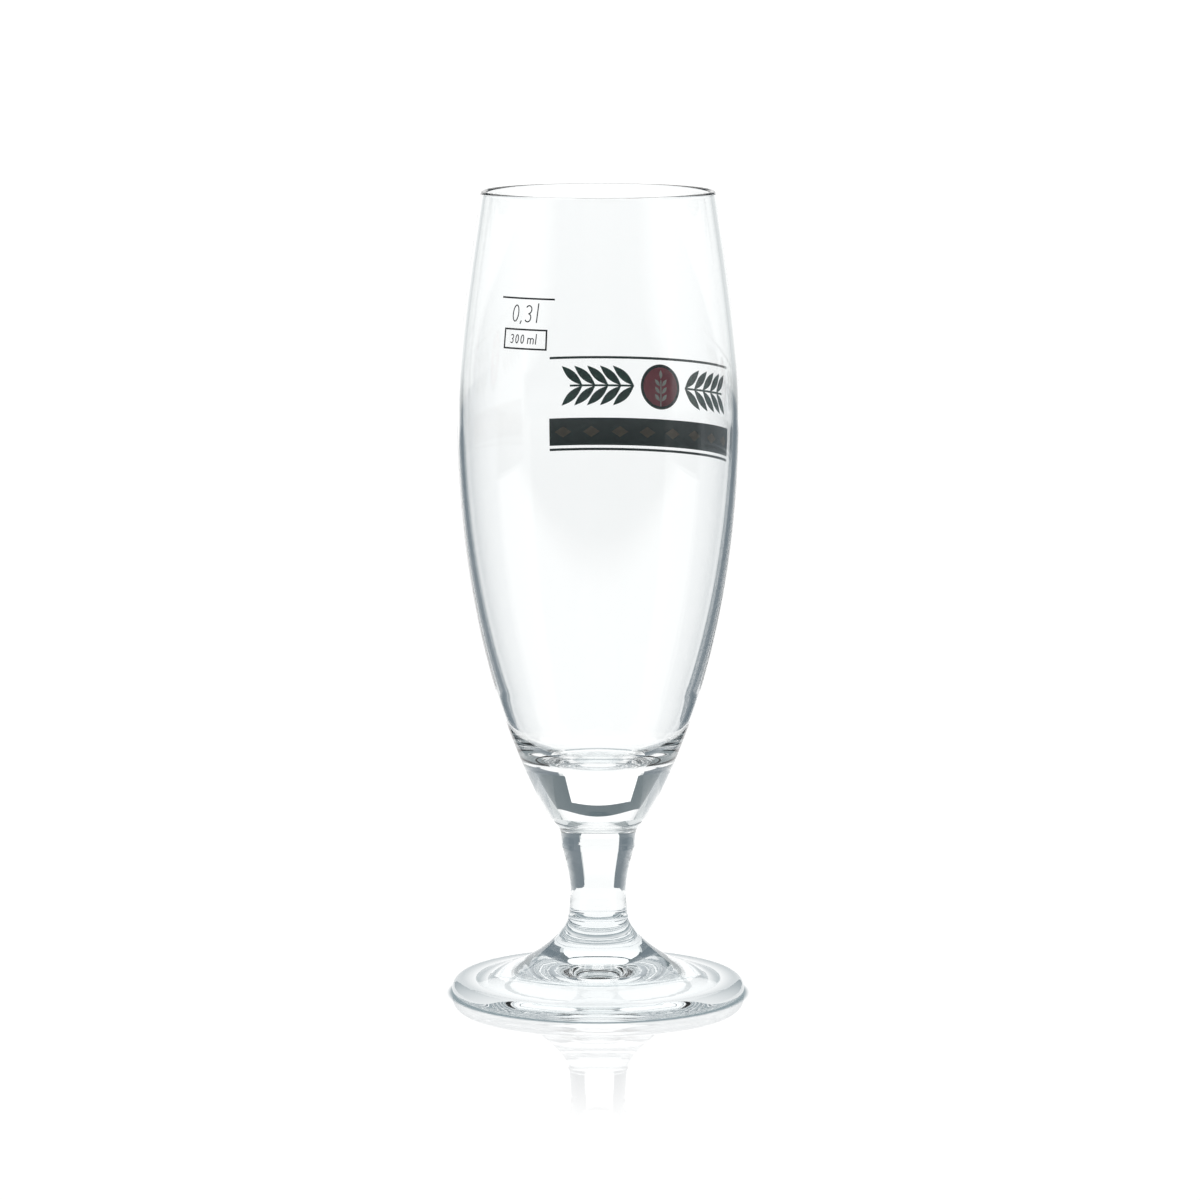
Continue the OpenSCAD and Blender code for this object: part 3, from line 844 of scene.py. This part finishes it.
def soda_lime_glass(name, tint, ior, wave_mm, wave_depth_mm, drag):
    """Soda-lime glass, fire polished: clear with a cool cast. Broad waves from the forming
    bend what shows through it, and drag stretches them level, as a mould leaves them."""
    material, tree = new_material(name)
    place = add_node(tree, "ShaderNodeTexCoord")
    stretch = add_node(
        tree, "ShaderNodeMapping", {"Scale": (1, 1, drag)}, {"Vector": (place, "Object")}
    )
    waves = add_node(
        tree, "ShaderNodeTexNoise",
        {"Scale": 1 / (wave_mm * MM), "Detail": 2, "Roughness": 0.4},
        {"Vector": (stretch, "Vector")},
    )
    bump = add_node(
        tree, "ShaderNodeBump", {"Strength": 1, "Distance": wave_depth_mm * MM},
        {"Height": (waves, "Fac")},
    )
    haze = add_node(
        tree, "ShaderNodeMapRange", {"To Min": 0, "To Max": GLASS_HAZE}, {"Value": (waves, "Fac")}
    )
    glass = add_node(
        tree, "ShaderNodeBsdfPrincipled",
        {"Base Color": rgba(tint), "IOR": ior, "Transmission Weight": 1},
        {"Normal": (bump, "Normal"), "Roughness": (haze, "Result")},
    )
    add_node(tree, "ShaderNodeOutputMaterial", links={"Surface": (glass, "BSDF")})
    return material


def fused_joint():
    """Two hot glass faces fused into one: the eye sees no surface there at all."""
    material, tree = new_material("fused glass joint")
    clear = add_node(tree, "ShaderNodeBsdfTransparent", {"Color": WHITE})
    add_node(tree, "ShaderNodeOutputMaterial", links={"Surface": (clear, "BSDF")})
    return material


def fired_enamel(name, tint):
    """Screen-printed enamel, fired on: dense and slightly glossy, with the printing mesh's
    fine grain and a faint mottle. The mesh is drawn at 0.3 mm, coarser than the real
    0.1 mm, so that it shows."""
    material, tree = new_material(name)
    place = add_node(tree, "ShaderNodeTexCoord")
    mottle = add_node(
        tree, "ShaderNodeTexNoise", {"Scale": 1 / MOTTLE_SIZE, "Detail": 3},
        {"Vector": (place, "Object")},
    )
    grain = add_node(
        tree, "ShaderNodeTexVoronoi", {"Scale": 1 / MESH_PITCH}, {"Vector": (place, "Object")}
    )
    pale = tuple(min(1, t * PALE_SHARE + PALE_LIFT) for t in tint)
    deep = tuple(t * DEEP_SHARE for t in tint)
    shade = add_node(
        tree, "ShaderNodeMix", {"data_type": "RGBA", 6: rgba(deep), 7: rgba(pale)},
        {0: (mottle, "Fac")},
    )
    bump = add_node(
        tree, "ShaderNodeBump", {"Strength": 0.4, "Distance": MESH_RISE},
        {"Height": (grain, "Distance")},
    )
    gloss = add_node(
        tree, "ShaderNodeMapRange", {"To Min": 0.22, "To Max": 0.42}, {"Value": (mottle, "Fac")}
    )
    enamel = add_node(
        tree, "ShaderNodeBsdfPrincipled", {"IOR": 1.5, "Specular IOR Level": 0.35},
        {"Base Color": (shade, 2), "Normal": (bump, "Normal"), "Roughness": (gloss, "Result")},
    )
    add_node(tree, "ShaderNodeOutputMaterial", links={"Surface": (enamel, "BSDF")})
    return material


def light_table(s, foot_r):
    """Opal acrylic light table. Its polish mirrors the glass in front of the foot, the
    mirror image fades towards the camera, and a soft shadow lies under and round the foot."""
    material, tree = new_material("opal acrylic light table")
    place = add_node(tree, "ShaderNodeTexCoord")
    apart = add_node(tree, "ShaderNodeSeparateXYZ", links={"Vector": (place, "Object")})
    aside = add_node(tree, "ShaderNodeMath", {"operation": "ABSOLUTE"}, {0: (apart, "X")})
    reach = add_node(
        tree, "ShaderNodeVectorMath", {"operation": "LENGTH"}, {0: (place, "Object")}
    )
    eased = {}
    for name, source, output, start, end, low, high in (
        ("glow", apart, "Y", -s.table_front, -s.front_fade, s.front_glow, s.table_glow),
        ("inside", reach, "Value", foot_r - s.shadow_in, foot_r, 0, 1),
        ("outside", reach, "Value", foot_r, foot_r + s.shadow_out, 1, 0),
        ("fade", reach, "Value", s.mirror_start, s.mirror_end, 1, 0),
        ("sides", aside, "Value", s.mirror_half, 2 * s.mirror_half, 1, 0),
        ("front", apart, "Y", -foot_r / 2, foot_r / 2, 1, 0),
        ("free", reach, "Value", foot_r - s.shadow_out, foot_r + s.shadow_out, 0, 1),
    ):
        node = add_node(
            tree, "ShaderNodeMapRange",
            {"From Min": start, "From Max": end, "To Min": low, "To Max": high,
             "interpolation_type": "SMOOTHSTEP"},
            {"Value": (source, output)},
        )
        eased[name] = node, "Result"
    shade = add_node(
        tree, "ShaderNodeMath", {"operation": "MULTIPLY"},
        {0: eased["inside"], 1: eased["outside"]},
    )
    tint = add_node(
        tree, "ShaderNodeMix", {"data_type": "RGBA", 6: WHITE, 7: rgba(s.shadow)},
        {0: (shade, "Value")},
    )
    polish = add_node(tree, "ShaderNodeFresnel", {"IOR": s.mirror_ior})
    share = polish, "Fac"
    for name in ("fade", "sides", "front", "free"):
        product = add_node(
            tree, "ShaderNodeMath", {"operation": "MULTIPLY"}, {0: share, 1: eased[name]}
        )
        share = product, "Value"
    glow = add_node(
        tree, "ShaderNodeEmission", links={"Color": (tint, 2), "Strength": eased["glow"]}
    )
    mirror = add_node(
        tree, "ShaderNodeBsdfAnisotropic", {"Color": WHITE, "Roughness": TABLE_ROUGHNESS}
    )
    both = add_node(
        tree, "ShaderNodeMixShader", links={0: share, 1: (glow, "Emission"), 2: (mirror, "BSDF")}
    )
    add_node(tree, "ShaderNodeOutputMaterial", links={"Surface": (both, "Shader")})
    return material


def glowing_cloth(name, s, rises, strengths):
    """White diffusion cloth lit from behind, with its light changing evenly from its
    bottom edge to its top edge."""
    material, tree = new_material(f"white diffusion cloth, {name}")
    place = add_node(tree, "ShaderNodeTexCoord")
    apart = add_node(tree, "ShaderNodeSeparateXYZ", links={"Vector": (place, "Object")})
    strength = add_node(
        tree, "ShaderNodeMapRange",
        {"From Min": s.card_r * math.sin(rises[0]), "From Max": s.card_r * math.sin(rises[1]),
         "To Min": strengths[0], "To Max": strengths[1]},
        {"Value": (apart, "Z")},
    )
    glow = add_node(
        tree, "ShaderNodeEmission", {"Color": WHITE}, {"Strength": (strength, "Result")}
    )
    add_node(tree, "ShaderNodeOutputMaterial", links={"Surface": (glow, "Emission")})
    return material


def dim_surface(name, tint, far_tint, reach):
    """A dark cloth or floor in the room's weak light, faintly mottled and paler far out."""
    material, tree = new_material(name)
    place = add_node(tree, "ShaderNodeTexCoord")
    mottle = add_node(
        tree, "ShaderNodeTexNoise", {"Scale": 1 / CLOTH_MOTTLE, "Detail": 2},
        {"Vector": (place, "Object")},
    )
    strength = add_node(
        tree, "ShaderNodeMapRange", {"To Min": 0.9, "To Max": 1.1}, {"Value": (mottle, "Fac")}
    )
    apart = add_node(
        tree, "ShaderNodeVectorMath", {"operation": "LENGTH"}, {0: (place, "Object")}
    )
    far = add_node(
        tree, "ShaderNodeMapRange", {"From Min": reach, "From Max": 3 * reach},
        {"Value": (apart, "Value")},
    )
    shade = add_node(
        tree, "ShaderNodeMix", {"data_type": "RGBA", 6: rgba(tint), 7: rgba(far_tint)},
        {0: (far, "Result")},
    )
    glow = add_node(
        tree, "ShaderNodeEmission", links={"Color": (shade, 2), "Strength": (strength, "Result")}
    )
    add_node(tree, "ShaderNodeOutputMaterial", links={"Surface": (glow, "Emission")})
    return material


def flag_cloth(s):
    """Grey flag cloth, pale in front where the room's light falls on it."""
    material, tree = new_material("grey flag cloth")
    place = add_node(tree, "ShaderNodeTexCoord")
    apart = add_node(tree, "ShaderNodeSeparateXYZ", links={"Vector": (place, "Object")})
    depth = add_node(
        tree, "ShaderNodeMapRange", {"From Min": -s.flag_front, "From Max": s.flag_deep},
        {"Value": (apart, "Y")},
    )
    # Painted light and shade: pale in front where the room's light falls, darkening in painted
    # shade towards the back
    tint = add_node(
        tree, "ShaderNodeMix", {"data_type": "RGBA", 6: rgba(s.flag_lit), 7: rgba(s.flag_shaded)},
        {0: (depth, "Result")},
    )
    glow = add_node(tree, "ShaderNodeEmission", {"Strength": 1}, {"Color": (tint, 2)})
    add_node(tree, "ShaderNodeOutputMaterial", links={"Surface": (glow, "Emission")})
    return material


# Operators

class GLASS_OT_blow_bowl(Operator):
    """Blow the bowl: a spun solid with its lip, wall, floor and button"""
    bl_idname = "glass.blow_bowl"
    bl_label = "Blow the bowl"

    def execute(self, context):
        s = context.scene.glass_bowl
        looks = context.scene.glass_finishes
        glass = soda_lime_glass(
            "soda-lime glass, blown", looks.glass, looks.ior,
            wave_mm=24, wave_depth_mm=0.012, drag=0.5,
        )
        form_glass("blown_bowl", bowl_outline(s), s.steps, glass, [s.root_h], "bowl")
        return {"FINISHED"}


class GLASS_OT_draw_stem(Operator):
    """Draw the stem: a spun solid with its flare, bead, neck and waist"""
    bl_idname = "glass.draw_stem"
    bl_label = "Draw the stem"

    def execute(self, context):
        bowl = context.scene.glass_bowl
        foot = context.scene.glass_foot
        looks = context.scene.glass_finishes
        outline = stem_outline(bowl, context.scene.glass_stem, foot)
        glass = soda_lime_glass(
            "soda-lime glass, drawn", looks.stem_glass, looks.ior,
            wave_mm=5, wave_depth_mm=0.006, drag=4,
        )
        joints = [bowl.root_h, foot.collar_h]
        form_glass("drawn_stem", outline, bowl.steps, glass, joints, "stem")
        return {"FINISHED"}


class GLASS_OT_press_foot(Operator):
    """Press the foot: a spun solid with its collar, top, edge and hollow"""
    bl_idname = "glass.press_foot"
    bl_label = "Press the foot"

    def execute(self, context):
        s = context.scene.glass_foot
        looks = context.scene.glass_finishes
        glass = soda_lime_glass(
            "soda-lime glass, pressed", looks.foot_glass, looks.ior,
            wave_mm=9, wave_depth_mm=0.006, drag=1,
        )
        steps = context.scene.glass_bowl.steps
        form_glass("pressed_foot", foot_outline(s), steps, glass, [s.collar_h], "foot")
        return {"FINISHED"}


class GLASS_OT_print_capacity_mark(Operator):
    """Print the capacity mark: the filling line, its figures and their frame"""
    bl_idname = "glass.print_capacity_mark"
    bl_label = "Print the capacity mark"

    def execute(self, context):
        s = context.scene.glass_mark
        outside = bowl_outside(context.scene.glass_bowl)
        black = fired_enamel("black enamel, screen printed", context.scene.glass_finishes.black)
        width = s.fill_span * radius_at(outside, s.fill_h)
        line = thickened(sliced(sheet("filling_line", width, s.fill_stroke)), s.ink_t)
        wrapped(line, outside, s.mark_angle, s.fill_h, s.ink_fuse)

        figure_base = s.fill_h - s.figure_gap - s.figure_h
        frame_base = figure_base - s.frame_gap - s.frame_h
        small_base = frame_base + (s.frame_h - s.small_h) / 2
        strokes = lettered(LARGE_LINE, s.figure_h, s.figure_stroke, s.figure_slant, 0)
        strokes += lettered(
            SMALL_LINE, s.small_h, s.small_stroke, s.figure_slant, small_base - figure_base
        )
        figures = flattened(merged("capacity_numerals", strokes), s.ink_t)
        wrapped(figures, outside, s.mark_angle, figure_base, s.ink_fuse)

        border = ringed(sheet("capacity_border", s.frame_w, s.frame_h), s.frame_stroke)
        thickened(sliced(border), s.ink_t)
        wrapped(border, outside, s.mark_angle, frame_base + s.frame_h / 2, s.ink_fuse)

        for piece, node in (
            (line, "fill_line"), (figures, "capacity_figures"), (border, "capacity_frame")
        ):
            fire_enamel(piece, black, node)
        return {"FINISHED"}


def ornament_heights(s):
    """Heights of the ornament's stretches, from its lower edge up."""
    band_base = s.base_h + s.pinstripe_t + s.pinstripe_gap
    row_base = band_base + s.band_h + s.row_gap
    row_top = row_base + s.row_h
    return band_base + s.band_h / 2, (row_base + row_top) / 2, row_top


class GLASS_OT_print_band(Operator):
    """Print the pinstripes and the broad band with its lozenges"""
    bl_idname = "glass.print_band"
    bl_label = "Print the band"

    def execute(self, context):
        s = context.scene.glass_ornament
        ink = context.scene.glass_mark
        looks = context.scene.glass_finishes
        outside = bowl_outside(context.scene.glass_bowl)
        band_h, _, row_top = ornament_heights(s)
        green = fired_enamel("dark green enamel, screen printed", looks.dark_green)

        stripes = []
        for height in (s.base_h + s.pinstripe_t / 2, row_top + s.pinstripe_t / 2):
            width = s.span * radius_at(outside, height)
            stripe = thickened(sliced(sheet("stripe", width, s.pinstripe_t)), ink.ink_t)
            stripes.append(wrapped(stripe, outside, s.middle, height, ink.ink_fuse))
        pinstripes = merged("pinstripe_pair", stripes)
        fire_enamel(pinstripes, green, "pinstripes")

        width = s.span * radius_at(outside, band_h)
        band = sheet("broad_band", width, s.band_h)
        lozenges = self.cut_lozenges(band, width, s)
        tan = fired_enamel("tan enamel, screen printed", looks.tan)
        for piece, enamel, node, slot in (
            (band, green, "band", "dark_green_enamel"),
            (lozenges, tan, "band_lozenges", "tan_enamel"),
        ):
            thickened(sliced(piece), ink.ink_t)
            wrapped(piece, outside, s.middle, band_h, ink.ink_fuse)
            fire_enamel(piece, enamel, node)
        return {"FINISHED"}

    def cut_lozenges(self, band, width, s):
        """Cuts the lozenges out of the flat band, and returns them as a piece of their own."""
        pitch = width / s.lozenge_count
        middles = [(i - (s.lozenge_count - 1) / 2) * pitch for i in range(s.lozenge_count)]
        half_w, half_h = s.lozenge_w / 2, s.lozenge_h / 2
        only(band)
        with editing():
            for i in range(1, s.lozenge_count):
                bpy.ops.mesh.select_all(action="SELECT")
                cut_through(i * pitch - width / 2, 0, 1, 0)
            for middle in middles:
                for side_x in (-1, 1):
                    for side_y in (-1, 1):
                        select_faces(band, lambda c: abs(c.x - middle) < pitch / 2)
                        cut_through(middle + side_x * half_w, 0, side_x * half_h, side_y * half_w)
            select_faces(band, lambda c: any(
                abs(c.x - m) / half_w + abs(c.y) / half_h < 1 for m in middles
            ))
            bpy.ops.mesh.separate(type="SELECTED")
        lozenges = [o for o in bpy.context.selected_objects if o != band][0]
        lozenges.name = "lozenge_row"
        lozenges.data.name = "lozenge_row"
        return lozenges


class GLASS_OT_print_garland(Operator):
    """Print the leafy twigs on both sides of the medallion"""
    bl_idname = "glass.print_garland"
    bl_label = "Print the garland"
    start_share = 0.66

    def execute(self, context):
        s = context.scene.glass_ornament
        ink = context.scene.glass_mark
        looks = context.scene.glass_finishes
        outside = bowl_outside(context.scene.glass_bowl)
        _, row_h, _ = ornament_heights(s)
        start = s.medallion_d * self.start_share
        end = s.span / 2 * radius_at(outside, row_h) - s.leaf_l * math.cos(s.leaf_angle)
        pitch = (end - start) / s.leaf_pairs
        pieces = []
        for side in (-1, 1):
            places = []
            for i in range(s.leaf_pairs):
                for turn in (-s.leaf_angle, s.leaf_angle):
                    out = turn if side > 0 else math.pi - turn
                    places.append((side * (start + i * pitch), 0, out))
            pieces += pointed_ovals("leaf", s.leaf_l, s.leaf_w, places)
            twig_x = side * (start + s.leaf_pairs * pitch / 2)
            pieces.append(sliced(sheet("twig", s.leaf_pairs * pitch, s.twig_t, x=twig_x)))
        garland = thickened(merged("leafy_twigs", pieces), ink.ink_t)
        wrapped(garland, outside, s.middle, row_h, ink.ink_fuse)
        enamel = fired_enamel("mid green enamel, screen printed", looks.green)
        fire_enamel(garland, enamel, "garland")
        return {"FINISHED"}


class GLASS_OT_print_medallion(Operator):
    """Print the medallion: its outline, its ground and its ear of barley"""
    bl_idname = "glass.print_medallion"
    bl_label = "Print the medallion"
    step_share = 0.84
    clear_share = 1.1
    grain_turn = math.radians(38)

    def execute(self, context):
        s = context.scene.glass_ornament
        ink = context.scene.glass_mark
        looks = context.scene.glass_finishes
        outside = bowl_outside(context.scene.glass_bowl)
        _, row_h, _ = ornament_heights(s)

        outline = ringed(disc("medallion_ring", s.medallion_d), s.medallion_line)
        thickened(sliced(outline), ink.ink_t)

        ear = thickened(self.ear(s), ink.ink_t)
        ground = disc("medallion_ground", s.medallion_d - 2 * s.medallion_line)
        thickened(ground, ink.ink_t)
        cut = ground.modifiers.new("ear", "BOOLEAN")
        cut.operation = "DIFFERENCE"
        cut.solver = "EXACT"
        cut.object = ear
        only(ground)
        bpy.ops.object.modifier_apply(modifier=cut.name)
        sliced(ground)

        for piece, node, slot, name, tint in (
            (outline, "medallion_outline", "dark_green_enamel", "dark green", looks.dark_green),
            (ground, "medallion_field", "red_enamel", "muted red", looks.red),
            (ear, "medallion_ear", "white_enamel", "white", looks.white),
        ):
            wrapped(piece, outside, s.middle, row_h, ink.ink_fuse)
            fire_enamel(piece, fired_enamel(f"{name} enamel, screen printed", tint), node)
        return {"FINISHED"}

    def ear(self, s):
        """The ear, flat: pairs of grains up a stalk and one at the tip."""
        step = s.grain_l * self.step_share
        clear = s.stalk_t * self.clear_share
        ear_l = s.grain_pairs * step + s.grain_l
        places = []
        for i in range(s.grain_pairs):
            for side in (-1, 1):
                turn = math.pi / 2 - side * self.grain_turn
                places.append((side * clear, i * step - ear_l / 2 + clear, turn))
        places.append((0, ear_l / 2 - s.grain_l + clear, math.pi / 2))
        pieces = pointed_ovals("grain", s.grain_l, s.grain_w, places)
        stalk_l = (s.grain_pairs + 0.5) * step
        stalk = sheet("stalk", s.stalk_t, stalk_l, y=(stalk_l - ear_l - step) / 2)
        pieces.append(sliced(stalk))
        return merged("barley_ear", pieces)


CAMERA_CLIP = 20
MAX_BOUNCES = 28
TRANSMISSION_BOUNCES = 24
GLOSSY_BOUNCES = 16
TRANSPARENT_BOUNCES = 24
CARD_STEPS_ACROSS = 32
CARD_STEPS_UP = 8
# Angle from a card's middle where its edge has risen by its whole sag
SAG_ANGLE = math.radians(25)
FLOOR_STEPS = 64
# Radius of the floor as a multiple of its depth under the table
FLOOR_REACH = 20


def put_on_rig(piece, rig, material):
    """Gives a piece of the studio its material and sets it on the rig."""
    piece.parent = rig
    piece.data.materials.append(material)


class GLASS_OT_set_studio(Operator):
    """Set the studio: camera, light table, cards, cloths, flags and floor"""
    bl_idname = "glass.set_studio"
    bl_label = "Set the studio"

    def execute(self, context):
        s = context.scene.glass_studio
        self.set_camera(context, s)
        rig = self.set_rig(context)
        self.set_table(s, rig, context.scene.glass_foot.foot_d / 2)
        self.set_cards(s, rig)
        self.set_flags(s, rig)
        self.set_ground(s, rig)
        world = bpy.data.worlds.new("pale room")
        context.scene.world = world
        world.use_nodes = True
        world.node_tree.nodes["Background"].inputs["Color"].default_value = rgba(s.room)
        context.scene.view_settings.view_transform = "Standard"
        context.scene.cycles.max_bounces = MAX_BOUNCES
        context.scene.cycles.transmission_bounces = TRANSMISSION_BOUNCES
        context.scene.cycles.glossy_bounces = GLOSSY_BOUNCES
        context.scene.cycles.transparent_max_bounces = TRANSPARENT_BOUNCES
        return {"FINISHED"}

    def set_camera(self, context, s):
        """A long lens at the photo's place and tilt."""
        deselect()
        bpy.ops.object.camera_add(
            location=(s.camera_aside, -s.camera_back, s.camera_up),
            rotation=(math.pi / 2 - s.camera_pitch, 0, 0),
        )
        camera = bpy.context.object
        camera.name = "studio_camera"
        camera.data.sensor_width = SENSOR
        camera.data.lens = s.focal_px / PHOTO_WIDTH * SENSOR
        camera.data.clip_end = CAMERA_CLIP
        context.scene.camera = camera

    def set_rig(self, context):
        """The stand of table, backdrop and lights. As on a turntable shoot it keeps its
        place about the camera while the glass turns."""
        deselect()
        bpy.ops.object.empty_add(location=(0, 0, 0))
        rig = bpy.context.object
        rig.name = "studio_rig"
        follow = rig.constraints.new("LOCKED_TRACK")
        follow.target = context.scene.camera
        follow.track_axis = "TRACK_NEGATIVE_Y"
        follow.lock_axis = "LOCK_Z"
        return rig

    def set_table(self, s, rig, foot_r):
        """The light table that the glass stands on."""
        deselect()
        bpy.ops.mesh.primitive_plane_add(size=1)
        table = named("light_table")
        for v in table.data.vertices:
            v.co.x *= 2 * s.table_half
            v.co.y = s.table_back if v.co.y > 0 else -s.table_front
        table.location.z = s.table_lift
        put_on_rig(table, rig, light_table(s, foot_r))

    def set_cards(self, s, rig):
        """Glowing cards behind and over the glass, with a dark cloth behind both of them,
        and a dim curtain behind the camera. The cloth shows at the cards' sides and in the
        gap between them, and draws dark edges in the glass."""
        left, right, over = s.backdrop_left, s.backdrop_right, s.overhead_half
        top, gap = s.backdrop_top, s.backdrop_gap
        for name, sides, rises, sags, strengths in (
            ("backdrop", (-left, right), (0, top), (0, s.sag), (s.table_glow, s.backdrop_glow)),
            ("overhead_card", (-over, over), (top + gap, s.overhead_top), (s.sag, 0),
             (s.overhead_glow, s.overhead_glow)),
        ):
            card = self.card(name, sides, rises, sags, s.card_r)
            put_on_rig(card, rig, glowing_cloth(name, s, rises, strengths))
        rises = (s.cloth_base, s.cloth_top)
        cloth = self.card("dark_cloth", (-s.cloth_half, s.cloth_half), rises, (0, 0), s.cloth_r)
        put_on_rig(cloth, rig, dim_surface("dark cloth", s.cloth, s.cloth, s.cloth_r))
        sides = (math.pi - s.curtain_half, math.pi + s.curtain_half)
        curtain = self.card("curtain", sides, (0, s.curtain_top), (0, 0), s.curtain_r)
        put_on_rig(curtain, rig, dim_surface("dim curtain", s.curtain, s.curtain, s.curtain_r))

    def card(self, name, sides, rises, sags, radius):
        """A card bent round the glass. Its angles are counted from straight behind the
        glass and from the table up, and an edge may sag in its middle."""
        deselect()
        bpy.ops.mesh.primitive_grid_add(
            x_subdivisions=CARD_STEPS_ACROSS, y_subdivisions=CARD_STEPS_UP, size=1,
        )
        card = named(name)
        for v in card.data.vertices:
            across, up = v.co.x + 0.5, v.co.y + 0.5
            turn = sides[0] + (sides[1] - sides[0]) * across
            lift = (turn / SAG_ANGLE) ** 2
            low, high = rises[0] + sags[0] * lift, rises[1] + sags[1] * lift
            rise = low + (high - low) * up
            v.co = Vector((math.sin(turn) * math.cos(rise), math.cos(turn) * math.cos(rise),
                           math.sin(rise))) * radius
        return card

    def set_flags(self, s, rig):
        """Flags close by the glass, which draw its dark edges. They are left out of the
        picture, as the photo's white ground is."""
        for side, name, reach in (
            (-1, "left_flag", s.left_reach), (1, "right_flag", s.right_reach)
        ):
            deselect()
            bpy.ops.mesh.primitive_plane_add(size=1)
            flag = named(name)
            for v in flag.data.vertices:
                y = reach if v.co.x > 0 else -s.flag_front
                top = s.flag_top - s.flag_drop if v.co.x > 0 else s.flag_top
                z = top if v.co.y > 0 else 0
                v.co = Vector((side * s.flag_x, y, z))
            flag.visible_camera = False
            put_on_rig(flag, rig, flag_cloth(s))

    def set_ground(self, s, rig):
        """The room's dark floor, far under the table."""
        deselect()
        bpy.ops.mesh.primitive_circle_add(
            vertices=FLOOR_STEPS, radius=FLOOR_REACH * s.ground_drop, fill_type="NGON",
            location=(0, 0, -s.ground_drop),
        )
        floor = dim_surface("dark floor", s.ground, s.room, s.ground_reach)
        put_on_rig(named("room_floor"), rig, floor)


OPERATORS = (
    GLASS_OT_blow_bowl,
    GLASS_OT_draw_stem,
    GLASS_OT_press_foot,
    GLASS_OT_print_capacity_mark,
    GLASS_OT_print_band,
    GLASS_OT_print_garland,
    GLASS_OT_print_medallion,
    GLASS_OT_set_studio,
)


class GLASS_PT_pieces(Panel):
    """The glass's pieces and their sizes"""
    bl_idname = "GLASS_PT_pieces"
    bl_label = "Pilsner glass"
    bl_space_type = "VIEW_3D"
    bl_region_type = "UI"
    bl_category = "Glass"

    def draw(self, context):
        for operator in OPERATORS:
            self.layout.operator(operator.bl_idname)
        for group in GROUPS:
            box = self.layout.box()
            box.label(text=group.replace("_", " "))
            sizes = getattr(context.scene, group)
            for name in sizes.__annotations__:
                box.prop(sizes, name)


CLASSES = (*GROUPS.values(), *OPERATORS, GLASS_PT_pieces)


def register():
    """Registers the classes and hangs the sizes on the scene."""
    for item in CLASSES:
        bpy.utils.register_class(item)
    for name, group in GROUPS.items():
        setattr(bpy.types.Scene, name, PointerProperty(type=group))


def unregister():
    """Takes all of it away again."""
    for name in GROUPS:
        delattr(bpy.types.Scene, name)
    for item in reversed(CLASSES):
        bpy.utils.unregister_class(item)


def main():
    """Makes every piece and the studio."""
    register()
    bpy.ops.glass.blow_bowl()
    bpy.ops.glass.draw_stem()
    bpy.ops.glass.press_foot()
    bpy.ops.glass.print_capacity_mark()
    bpy.ops.glass.print_band()
    bpy.ops.glass.print_garland()
    bpy.ops.glass.print_medallion()
    bpy.ops.glass.set_studio()
    deselect()


if __name__ == "__main__":
    main()
